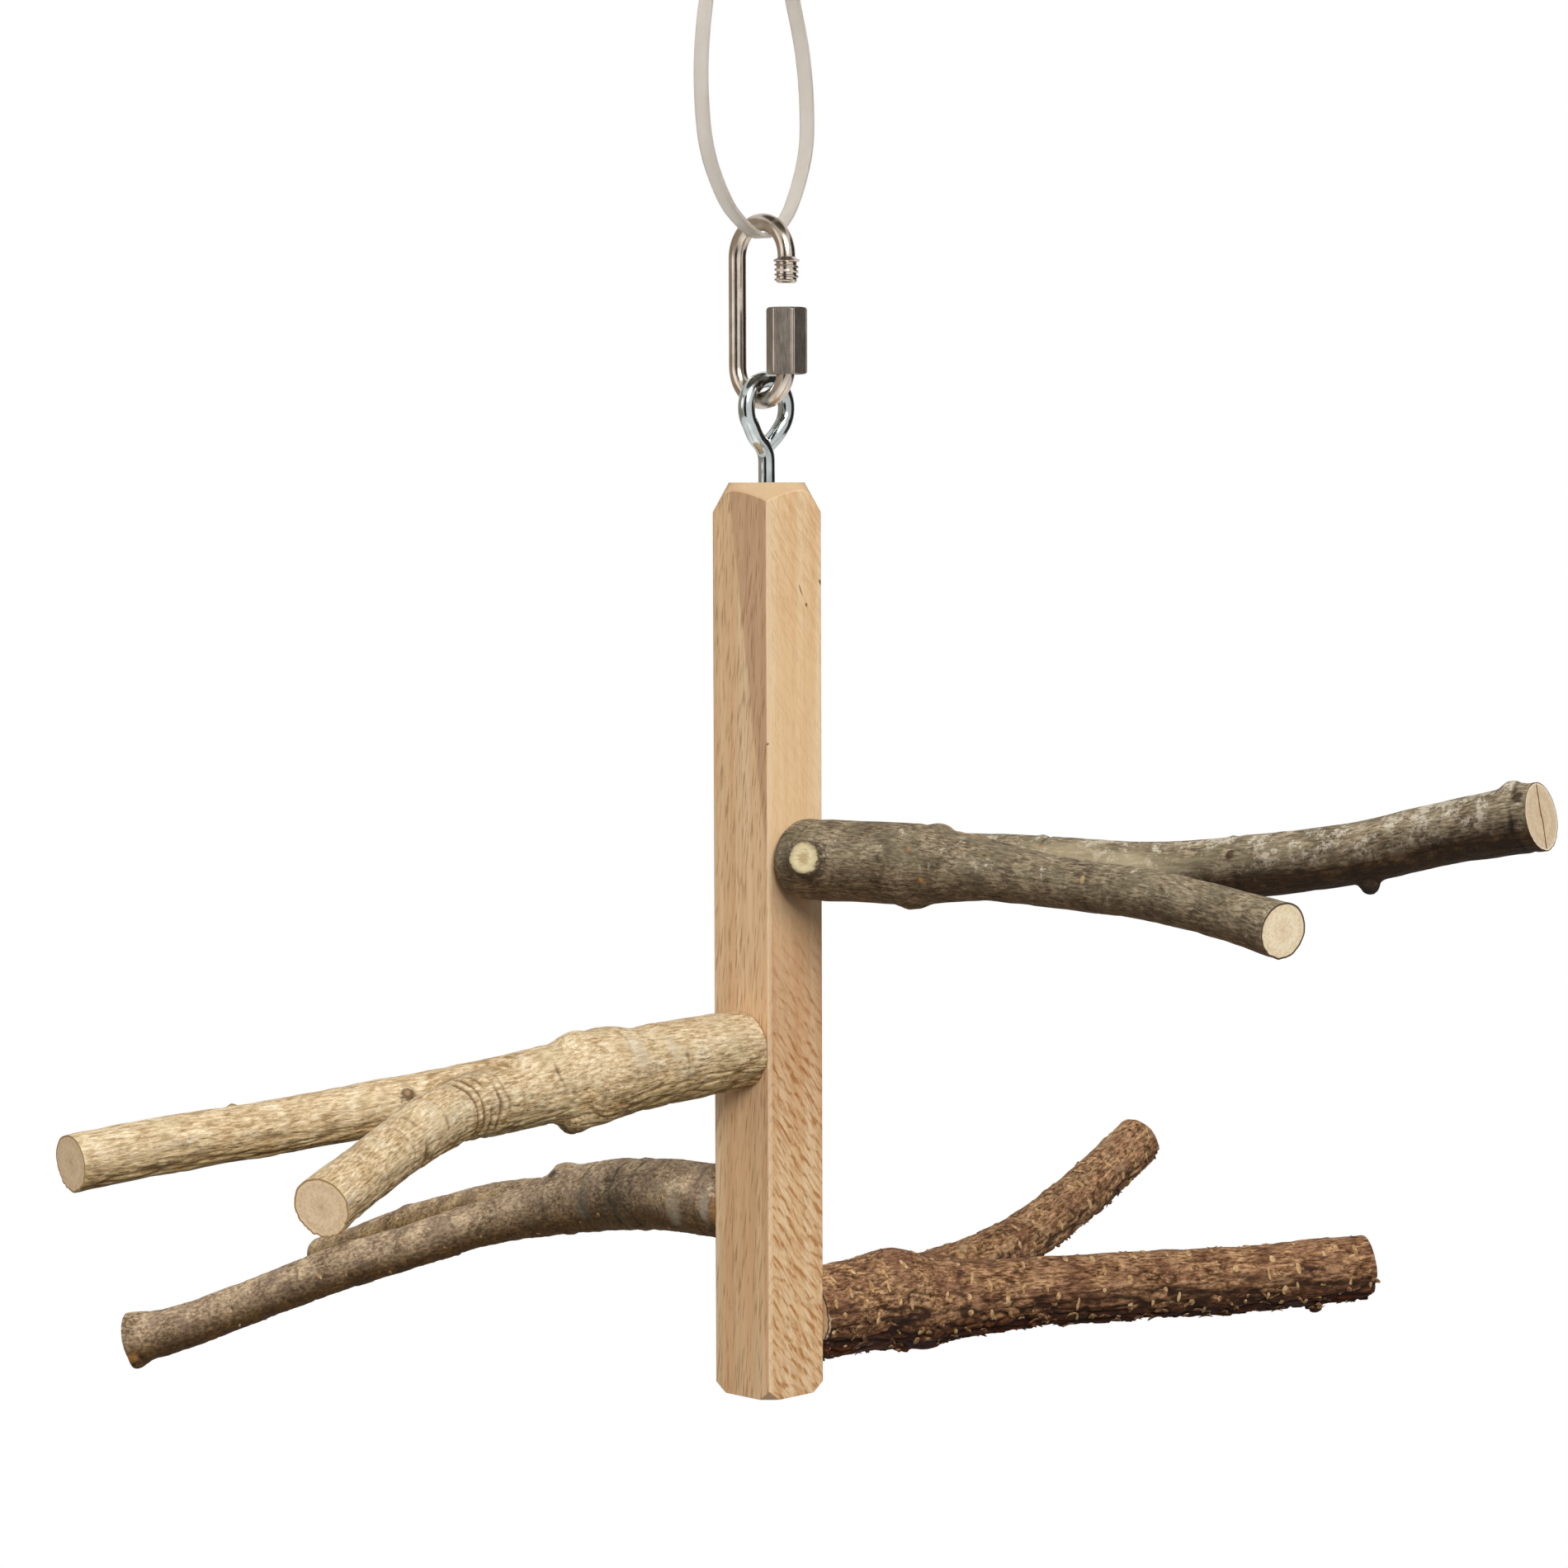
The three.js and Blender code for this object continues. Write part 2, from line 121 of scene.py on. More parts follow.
def ringBody(bm, rings, ends=True):       # rings of points, all turning the same way
    loops = [[bm.verts.new(point) for point in ring] for ring in rings]
    count = len(loops[0])
    for low, high in zip(loops, loops[1:]):
        for side in range(count):
            bm.faces.new((low[side], low[(side + 1) % count], high[(side + 1) % count], high[side]))
    if ends:
        bm.faces.new(loops[0][::-1])
        bm.faces.new(loops[-1])
    return loops


def finishMesh(bm, name, materials=(), sharpAngle=35):
    bmesh.ops.recalc_face_normals(bm, faces=bm.faces)
    mesh = bpy.data.meshes.new(name)
    bm.to_mesh(mesh)
    bm.free()
    for material in materials:
        mesh.materials.append(material)
    mesh.shade_smooth()
    mesh.set_sharp_from_angle(angle=math.radians(sharpAngle))
    return mesh


def newTree(name, **sockets):      # a geometry tree, addNode for it, and its named inputs
    tree = bpy.data.node_groups.new(name, "GeometryNodeTree")
    tree.interface.new_socket("Geometry", in_out="INPUT", socket_type="NodeSocketGeometry")
    for label, kind in sockets.items():
        tree.interface.new_socket(label, in_out="INPUT", socket_type="NodeSocket" + kind)
    tree.interface.new_socket("Geometry", in_out="OUTPUT", socket_type="NodeSocketGeometry")
    add = functools.partial(addNode, tree)
    return tree, add, add("NodeGroupInput", out="all")


def closeTree(tree, add, geometry, material):      # every tree ends in plain geometry with its material
    plain = add("GeometryNodeRealizeInstances", geometry)
    add("NodeGroupOutput", add("GeometryNodeSetMaterial", Geometry=plain, Material=material))
    return tree


def grow(mesh, tree, **values):      # runs a tree on a mesh and gives back the plain result
    holder = newObject("holder", mesh)
    modifier = holder.modifiers.new("grow", "NODES")
    modifier.node_group = tree
    for item in tree.interface.items_tree:
        if item.item_type == "SOCKET" and item.in_out == "INPUT" and item.name in values:
            modifier[item.identifier] = values[item.name]
    return plainMesh(holder)


def polyline(points):
    mesh = bpy.data.meshes.new("line")
    mesh.from_pydata([tuple(p) for p in points], [(k, k + 1) for k in range(len(points) - 1)], [])
    return mesh


def unit(vectors):      # rows of length 1
    return vectors / np.maximum(np.linalg.norm(vectors, axis=1), 1e-6)[:, None]


def resample(even, along, columns):
    return np.stack([np.interp(even, along, columns[:, k]) for k in range(columns.shape[1])], axis=1)


def lengthAlong(points):
    return np.concatenate([[0], np.cumsum(np.linalg.norm(np.diff(points, axis=0), axis=1))])


def rowDot(first, second):
    return np.einsum("ij,ij->i", first, second)


def hashed(table, cells):      # an entry of the shuffled table for each row of whole numbers
    pick = 0
    for k in range(3):
        pick = table[(pick + cells[:, k]) & (len(table) - 1)]
    return pick


def gradientNoise(points, seed):      # smooth noise of about -1 to 1, one wave a unit
    rng = np.random.default_rng(seed)
    table = rng.permutation(256)
    slopes = unit(rng.normal(size=(256, 3)))
    cell = np.floor(points).astype(int)
    inside = points - cell
    fade = inside ** 3 * (inside * (inside * 6 - 15) + 10)
    total = np.zeros(len(points))
    for corner in itertools.product((0, 1), repeat=3):
        weight = np.prod(np.where(corner, fade, 1 - fade), axis=1)
        total += weight * rowDot(slopes[hashed(table, cell + corner)], inside - corner)
    return total * 1.5


hang = {"linkSeat": -91.4243, "linkShift": -1.5, "postTop": -149.261}      # mm under the hang point and beside it
# lens and sensor in mm; the camera's place from the post's top in mm, and its tilt and roll in degrees
shot = {"focal": 99.1, "sensor": 36, "distance": 1120, "aside": 4.26, "above": 0.64, "tilt": 4.03, "roll": 0.175}
toViewer = Vector((root, -root, 0))
toRight = Vector((root, root, 0))
upward = Vector((0, 0, 1))


def makeCamera():
    tilt, roll = math.radians(shot["tilt"]), math.radians(shot["roll"])
    forward = -toViewer * math.cos(tilt) - upward * math.sin(tilt)
    up = toRight.cross(forward)
    right = toRight * math.cos(roll) - up * math.sin(roll)
    up = up * math.cos(roll) + toRight * math.sin(roll)
    data = bpy.data.cameras.new("camera")
    data.lens = shot["focal"]
    data.sensor_width = shot["sensor"]
    scene.camera = newObject("camera", data)
    place = toViewer * shot["distance"] + toRight * shot["aside"] + upward * (hang["postTop"] + shot["above"])
    turn = Matrix((right, up, -forward)).transposed().to_4x4()
    scene.camera.matrix_world = Matrix.Translation(place * mm) @ turn


studio = {
    "keyAngle": 15, "keyHeight": 32, "keyDistance": 2.2, "keySize": 1.2, "keyPower": 47.0,
    "fillAngle": -62, "fillHeight": 15, "fillDistance": 2.2, "fillSize": 1.2, "fillPower": 4.8,
    "skyAbove": 0.5, "skyBelow": 0.12, "floorHeight": -1.15, "floorGlow": 0.62, "floorFades": (1.35, 1.9),
    "skyBand": (-0.6, 0.8), "floorHalf": 6,
    # cards that only the metal sees: angle from the camera, width in degrees, tone
    "cards": [(-95, 100, "#AFA497"), (-19, 34, "#241F1B"), (106, 62, "#3A332C")],
    "cardDistance": 2.4, "cardFrom": -1.9, "cardTo": 1.7,
    "ceiling": (1.95, 1.5, "#5E564C"),      # height, radius and tone of the card overhead
}
centre = Vector((0, 0, -0.2))


def aroundObject(angle, height, distance):      # angle to the right of the camera, height in degrees
    a, h = math.radians(angle), math.radians(height)
    flat = toViewer * math.cos(a) + toRight * math.sin(a)
    return centre + (flat * math.cos(h) + upward * math.sin(h)) * distance


def makeLamp(name):
    data = bpy.data.lights.new(name, "AREA")
    data.shape = "DISK"
    data.size = studio[name + "Size"]
    data.energy = studio[name + "Power"]
    lamp = newObject(name, data)
    lamp.location = aroundObject(studio[name + "Angle"], studio[name + "Height"], studio[name + "Distance"])
    lamp.rotation_euler = (centre - lamp.location).to_track_quat("-Z", "Y").to_euler()


def seesBackground(add):      # 1 for the camera, for mirrors and for see-through plastic
    path = add("LightPath", out="all")
    both = add("Math", path["Is Camera Ray"], path["Is Glossy Ray"], operation="MAXIMUM")
    return add("Math", both, path["Is Transmission Ray"], operation="MAXIMUM")


def makeStage(name, bm, material):
    thing = newObject(name, finishMesh(bm, name, [material]))
    return thing


def makeFloor():      # pale floor, lit softly, that melts into the white world far out
    material, add = newMaterial("paleFloor")
    lit = add("AddShader", add("BsdfDiffuse", "#E9E9E9"), add("Emission", None, studio["floorGlow"]))
    away = add("VectorMath", add("TexCoord", out="Object"), operation="LENGTH")
    far = add("MapRange", away, *studio["floorFades"])
    shown = add("MixShader", far, lit, add("Emission", None, 1))
    quiet = add("BsdfDiffuse", "#6E6E6E")
    add("OutputMaterial", add("MixShader", seesBackground(add), quiet, shown))
    bm = bmesh.new()
    bmesh.ops.create_grid(bm, x_segments=1, y_segments=1, size=studio["floorHalf"])
    bmesh.ops.translate(bm, verts=bm.verts, vec=(0, 0, studio["floorHeight"]))
    makeStage("floor", bm, material)


def makeCard(name, bm, tone):      # a plain glowing card for the metal to mirror
    material, add = newMaterial(name)
    add("OutputMaterial", add("Emission", tone, 1))
    card = makeStage(name, bm, material)
    card.visible_camera = card.visible_diffuse = card.visible_shadow = card.visible_transmission = False


def makeStudio():
    scene.world = bpy.data.worlds.new("studio")
    add = emptyTree(scene.world)
    height = add("SeparateXYZ", add("TexCoord", out="Generated"), out=2)
    level = add("MapRange", height, *studio["skyBand"], studio["skyBelow"], studio["skyAbove"])
    soft, white = add("Background", "#FFFDF8", level), add("Background", "#FFFFFF", 1)
    add("OutputWorld", add("MixShader", seesBackground(add), soft, white))
    makeLamp("key")
    makeLamp("fill")
    makeFloor()
    for place, (angle, width, tone) in enumerate(studio["cards"]):
        bm = bmesh.new()
        low, high = ([bm.verts.new(aroundObject(angle + side * width / 2, 0, studio["cardDistance"]) + upward * z)
                      for side in (-1, -0.5, 0, 0.5, 1)] for z in (studio["cardFrom"], studio["cardTo"]))
        for k in range(4):
            bm.faces.new((low[k], low[k + 1], high[k + 1], high[k]))
        makeCard("card%d" % place, bm, tone)
    height, radius, tone = studio["ceiling"]
    bm = bmesh.new()
    bmesh.ops.create_circle(bm, cap_ends=True, segments=32, radius=radius)
    bmesh.ops.translate(bm, verts=bm.verts, vec=(0, 0, height))
    makeCard("ceilingCard", bm, tone)


makeCamera()
makeStudio()
print("camera and studio done")


# strap: a free band of milky nylon, from its head round the link and back into the head
strap = {
    "width": 4.7, "thickness": 1.1, "edgeRound": 0.3, "length": 0.195,
    "route": [
        [9.3, -22.6], [10.2, -25.6], [13.6, -38.5], [15.1, -52], [14.5, -64.2], [9.8, -77], [4.6, -83.6],
        [-1.5, -86], [-7.6, -83.6], [-14.8, -77], [-21, -64.2], [-22.9, -48], [-21.8, -32],
        [-18.4, -17.5], [-13.4, -7.4], [-7, -1.2], [0, 0.55], [4.6, -3.2], [6.6, -10.4], [7.2, -14.7],
    ],
    "headLength": 7.2, "headWidth": 8, "headThickness": 5.2, "headRound": 0.9, "slotRim": 0.8, "slotDeep": 1.2,
    "cloud": 6, "grit": 0.5,      # mm between soft patches in the plastic, and between fine bumps from the mould
}


def splineThrough(points, steps):      # even steps along a spline of the kind that the solid uses
    p = np.array([points[0], *points, points[-1]], float)
    fine = []
    for k in range(len(points) - 1):
        a, b, c, d = p[k:k + 4]
        for t in np.linspace(0, 1, 24, endpoint=False):
            fine.append(b + 0.5 * t * ((c - a) + t * ((2 * a - 5 * b + 4 * c - d) + t * (3 * (b - c) + d - a))))
    fine = np.array([*fine, p[-1]])
    along = lengthAlong(fine)
    return resample(np.linspace(0, along[-1], steps + 1), along, fine), along[-1]


def makeNylon():      # moulded nylon 6.6: milky, lets light through, satin from the mould
    material, add = newMaterial("milkyNylon")
    spot = add("TexCoord", out="Object")
    cloud = add("TexNoise", spot, 1 / (strap["cloud"] * mm), 3)
    tint = add("ValToRGB", cloud, stops=[(0.3, "#DCD4C8"), (0.7, "#E5DED4")])
    grit = add("TexNoise", spot, 1 / (strap["grit"] * mm), 2)
    look = {"Roughness": 0.42, "IOR": 1.53, "Transmission Weight": 0.74}
    return closeMaterial(material, add, tint, [], (grit, 0.12, 0.1), look)


def makeStrap():
    nylon = makeNylon()
    points, length = splineThrough(strap["route"], 150)
    along = unit(np.gradient(points, axis=0))
    across = np.stack([-along[:, 1], along[:, 0]], axis=1)
    half, thick, r = strap["width"] / 2, strap["thickness"] / 2, strap["edgeRound"]
    profile = []
    for quarter, (x, y) in enumerate([(1, 1), (-1, 1), (-1, -1), (1, -1)]):
        for step in range(4):
            angle = math.radians(90 * quarter + 30 * step)
            profile.append((x * (half - r) + r * math.cos(angle), y * (thick - r) + r * math.sin(angle)))
    bm = bmesh.new()
    ringBody(bm, [[(px * mm, (y + ay * py) * mm, (z + az * py) * mm) for px, py in profile]
                  for (y, z), (ay, az) in zip(points, across)])
    band = newPiece("strapBand", finishMesh(bm, "strapBand", [nylon], 60), "strap", "nylon", "hanging_strap")

    # moulded head: a rounded block with the slot that the tail goes through
    low, high = (np.array(strap["route"][k]) for k in (0, -1))
    bm = bmesh.new()
    bmesh.ops.create_cube(bm, size=1)
    bmesh.ops.scale(bm, verts=bm.verts, vec=[strap[k] * mm for k in ("headWidth", "headThickness", "headLength")])
    bmesh.ops.bevel(bm, geom=bm.edges[:], offset=strap["headRound"] * mm, segments=3, affect="EDGES", profile=0.5)
    for face in [f for f in bm.faces if abs(f.normal.z) > 0.99 and f.calc_area() > 8 * mm * mm]:      # the two ends
        bmesh.ops.inset_region(bm, faces=[face], thickness=strap["slotRim"] * mm)
        moved = bmesh.ops.extrude_face_region(bm, geom=[face])
        ends = [v for v in moved["geom"] if isinstance(v, bmesh.types.BMVert)]
        bmesh.ops.translate(bm, verts=ends, vec=-face.normal * strap["slotDeep"] * mm)
        bmesh.ops.delete(bm, geom=[face], context="FACES")
    lean = math.atan2(low[0] - high[0], high[1] - low[1])
    place = Vector((0, *(low + high) / 2)) * mm
    bm.transform(Matrix.Translation(place) @ Matrix.Rotation(lean, 4, "X"))
    head = newPiece("strapHead", finishMesh(bm, "strapHead", [nylon], 40), "strap", "nylon", "strap_head")
    print("strap done, %.1f mm" % length)


makeStrap()


# metal: the open quick link, its nut and the eye screw
def closeSweep(tree, add, curve, radius, sides, material):      # a round section along a curve
    ring = add("GeometryNodeCurvePrimitiveCircle", Resolution=sides, Radius=radius)
    body = add("GeometryNodeCurveToMesh", Curve=curve, ProfileCurve=ring, FillCaps=True)
    return closeTree(tree, add, body, material)


def wireTree():      # a round wire along the edges of a mesh
    tree, add, given = newTree("wireAlongPath", Diameter="Float", Sides="Int", Material="Material")
    path = add("GeometryNodeMeshToCurve", given["Geometry"])
    radius = add("Math", given["Diameter"], 0.5, operation="MULTIPLY")
    return closeSweep(tree, add, path, radius, given["Sides"], given["Material"])


def threadTree():      # one winding ridge round +Z, for a screw thread
    tree, add, given = newTree("threadRidge", Radius="Float", Ridge="Float", Height="Float", Turns="Float",
                               Material="Material")
    winding = add("GeometryNodeCurveSpiral", Resolution=40, Rotations=given["Turns"], Height=given["Height"],
                  StartRadius=given["Radius"], EndRadius=given["Radius"])
    return closeSweep(tree, add, winding, given["Ridge"], 6, given["Material"])


wireAlongPath = wireTree()
threadRidge = threadTree()


metal = {"cloud": 5, "grit": 0.35, "drawn": 0.12}      # mm between soft patches and scratches; scratches drawn out


def makeMetal(name, tones, rough, scratch):      # drawn steel, blurred by fine scratches along it
    material, add = newMaterial(name)
    spot = add("TexCoord", out="Object")
    cloud = add("TexNoise", spot, 1 / (metal["cloud"] * mm), 4)
    tint = add("ValToRGB", cloud, stops=[(0.35, tones[0]), (0.65, tones[1])])
    drawn = add("Mapping", Vector=spot, Scale=(1, 1, metal["drawn"]))
    grit = add("TexNoise", drawn, 1 / (metal["grit"] * mm), 3, 0.6)
    dull = add("MapRange", grit, 0.3, 0.7, *rough)
    return closeMaterial(material, add, tint, [], (grit, scratch, 0.05), {"Roughness": dull, "Metallic": 1})


def circle(place, radii, z):      # one ring of points round +Z, radii in mm
    step = 2 * math.pi / len(radii)
    return [(place[0] + radius * mm * math.cos(step * k), place[1] + radius * mm * math.sin(step * k),
             place[2] + z * mm) for k, radius in enumerate(radii)]


def lathe(bm, profile, place, sides=48):      # profile of (radius, z), closed at both ends
    ringBody(bm, [circle(place, [radius] * sides, z) for radius, z in profile])


def addGrown(bm, mesh, place=(0, 0, 0)):
    mesh.transform(Matrix.Translation(place))
    bm.from_mesh(mesh)
    bpy.data.meshes.remove(mesh)


def addThread(bm, place, radius, ridge, height, pitch, metal):
    addGrown(bm, grow(polyline([(0, 0, 0), (0, 0, mm)]), threadRidge, Radius=radius * mm, Ridge=ridge * mm,
                      Height=height * mm, Turns=height / pitch, Material=metal), place)


def addWire(bm, points, base, diameter, metal):
    line = polyline([Vector(p) * mm + base for p in points])
    addGrown(bm, grow(line, wireAlongPath, Diameter=diameter * mm, Sides=40, Material=metal))


link = {
    "wire": 4.6, "legSpacing": 18, "straight": 27.7, "thread": 6.4, "core": 5.3, "pitch": 1.25, "ridge": 0.34,
    "threadLength": 6.2, "threadDrop": 0.7, "gateGap": 6.1, "lowerEndInNut": 1.5, "collar": 6.9,
}


def makeLink(steel):
    leg, straight = link["legSpacing"] / 2, link["straight"]
    top = -link["threadDrop"]
    threadEnd = top - link["threadLength"]
    nutTop = threadEnd - link["gateGap"]
    lowerEnd = nutTop - link["lowerEndInNut"]
    seat = Vector((0, hang["linkShift"], hang["linkSeat"])) * mm
    points = [(leg, 0, z) for z in np.linspace(threadEnd + 0.6, 0, 12, endpoint=False)]
    points += [(leg * math.cos(a), 0, leg * math.sin(a)) for a in np.linspace(0, math.pi, 49)]
    points += [(-leg, 0, z) for z in np.linspace(0, -straight, 24)[1:-1]]
    points += [(leg * math.cos(a), 0, leg * math.sin(a) - straight) for a in np.linspace(math.pi, 2 * math.pi, 49)]
    points += [(leg, 0, z) for z in np.linspace(-straight, lowerEnd - 0.6, 12)[1:]]
    bm = bmesh.new()
    addWire(bm, points, seat, link["wire"], steel)
    core, out, collar, ridge = link["core"] / 2, link["thread"] / 2, link["collar"] / 2, link["ridge"]
    upper = seat + Vector((leg, 0, 0)) * mm
    lathe(bm, [(core - 0.5, threadEnd), (core, threadEnd + 0.35), (core, top - 0.9), (collar - 0.25, top - 0.75),
               (collar, top - 0.45), (collar - 0.2, top - 0.12), (core, top + 0.05),
               (link["wire"] / 2, top + 0.5)], upper)
    for low, high in ((threadEnd + 0.5, top - 1.1), (-straight + 0.4, lowerEnd - 0.4)):
        addThread(bm, upper + Vector((0, 0, low)) * mm, out - ridge, ridge, high - low, link["pitch"], steel)
    lathe(bm, [(core - 0.3, -straight), (core, -straight + 0.3), (core, lowerEnd - 0.3), (core - 0.3, lowerEnd)], upper)
    newPiece("linkBody", finishMesh(bm, "linkBody", [steel], 50), "link", "stainless", "link_body")
    return seat + Vector((leg, 0, nutTop)) * mm


nut = {
    "length": 17.2, "flats": 9.4, "cornerRound": 0.38, "endCut": 1.1, "turn": 2, "bore": 7, "boreCut": 0.35,
    "rows": [0, 0.08, 0.2, 0.35, 0.55, 0.75, 0.9, 1.2, 3, 6, 9, 12, 15,      # heights of its rings of points
             16, 16.3, 16.45, 16.65, 16.85, 17, 17.12, 17.2],
}


def makeNut(steel, top):      # hexagon with worn corners, its ends turned round
    corner = nut["flats"] / math.sqrt(3)
    flat, r = nut["flats"] / 2, nut["cornerRound"]
    length, cut = nut["length"], nut["endCut"]
    sides = 180
    turn = math.radians(nut["turn"])

    def hexRadius(angle):
        fold = (angle - turn + math.pi / 6) % (math.pi / 3) - math.pi / 6
        straight = flat / math.cos(fold)
        cornerCentre = corner - 2 * r / math.sqrt(3)
        off = math.pi / 6 - abs(fold)
        inside = r * r - (cornerCentre * math.sin(off)) ** 2
        rounded = cornerCentre * math.cos(off) + math.sqrt(max(inside, 0))
        return min(straight, rounded) if inside > 0 else straight

    rings = []
    for z in nut["rows"]:
        opened = min(1, max(0, (min(z, length - z)) / cut))
        limit = corner - cut * (1 - math.sqrt(max(0, 1 - (1 - opened) ** 2)))
        rings.append([min(hexRadius(2 * math.pi * k / sides), limit) for k in range(sides)])
    bore, boreCut = nut["bore"] / 2, nut["boreCut"]
    rings = [[bore + boreCut] * sides] + rings + [[bore + boreCut] * sides, [bore] * sides, [bore] * sides]
    levels = [-length] + [z - length for z in nut["rows"]] + [0, -boreCut, -length + boreCut]
    bm = bmesh.new()
    loops = ringBody(bm, [circle(top, ring, z) for ring, z in zip(rings, levels)], ends=False)
    for side in range(sides):
        after = (side + 1) % sides
        bm.faces.new((loops[-1][side], loops[-1][after], loops[0][after], loops[0][side]))
    newPiece("linkNut", finishMesh(bm, "linkNut", [steel], 22), "nut", "dull_steel", "link_nut")


eye = {
    "wire": 4.4, "arc": 7.25, "rise": 19.2, "neck": 6.5, "overrun": 38, "threadLength": 24, "core": 3.2, "pitch": 2.6,
    "ridge": 0.5,
}


def makeEye(zinc):
    base = Vector((0, 0, hang["postTop"])) * mm
    neck, rise, arc = eye["neck"], eye["rise"], eye["arc"]
    marks = [(0, 0, -2), (0, 0, 3), (0, -0.2, neck + 0.5), (0, -1.6, neck + 3), (0, -3.9, neck + 5.2)]
    for degrees in np.linspace(180 + eye["overrun"], -eye["overrun"], 20):
        angle = math.radians(degrees)
        marks.append((0, arc * math.cos(angle), rise + arc * math.sin(angle)))
    marks += [(-0.8, 4.1, neck + 5.6), (-2.6, 2.5, neck + 3)]
    bm = bmesh.new()
    addWire(bm, splineThrough(marks, 160)[0], base, eye["wire"], zinc)
    core, depth = eye["core"] / 2, eye["threadLength"]
    lathe(bm, [(0.1, -depth), (core, -depth + 4.4), (core, -3), (eye["wire"] / 2, -1.5)], base)
    addThread(bm, base + Vector((0, 0, -depth + 4.6)) * mm, core + 0.1, eye["ridge"], depth - 8, eye["pitch"], zinc)
    newPiece("eyeScrew", finishMesh(bm, "eyeScrew", [zinc], 50), "perch", "zinc", "eye_screw")


# stainless mirrors the room warmly, tumbled steel is grey and blurred, zinc is cold and bright, yellow zinc satin
brightSteel = makeMetal("polishedStainless", ("#B0A395", "#C6BBAE"), (0.18, 0.26), 0.04)
dullSteel = makeMetal("tumbledSteel", ("#8A8076", "#9C9388"), (0.36, 0.5), 0.3)
zincPlate = makeMetal("brightZinc", ("#A6AEAE", "#C1C7C6"), (0.10, 0.18), 0.05)
screwPlate = makeMetal("yellowZinc", ("#B59F5E", "#CDBB7D"), (0.25, 0.4), 0.2)
makeNut(dullSteel, makeLink(brightSteel))
makeEye(zincPlate)
for number in (1, 2, 3, 4):
    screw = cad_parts["dowel_screw_%d" % number]
    screw.data.materials.clear()
    screw.data.materials.append(screwPlate)
print("metal done")


# post: a planed beech strip with turned ends
post = {
    "side": 20, "length": 238, "edgeBreak": 0.35, "topCut": 8, "topLong": 9.8, "topShort": 4.3, "topRun": 16,
    "bottomCut": 2.8, "bottomDepth": 2.4,
    "face": (9.55, 9.85),      # mm from the middle where the cut edge ends and a face begins
    # grain in mm: widths, how many times longer than wide, lean in degrees
    "bandWidth": 4.5, "bandStretch": 30, "streakWidth": 0.8, "heartLean": 0.141,
    "poreWidth": 0.46, "poreStretch": 15, "poreLean": 5, "rayWidth": 0.75, "rayStretch": 7, "rayLean": 36,
    # arched rings: distance apart, slope of the arches, where their tops lie, how far and how often they waver
    "ringPitch": 4.4, "ringSlope": 0.95, "ringMiddle": 8.4, "ringWaver": 9.0, "waverLength": 7,
    "ringsFrom": (112, 165), "raysFrom": (46, 22),      # mm under the top where the rings begin, and the upper rays end
    # small dark cracks on the +X face: place across and under the top, lean in degrees, width and length
    "cracks": [((2.2, -27.5), 24, 0.28, 3.6), ((4.3, -31.6), 28, 0.45, 1.1), ((9.6, -25.8), 30, 0.5, 1.6),
               ((-9.7, -67), 0, 0.4, 0.7)],
}


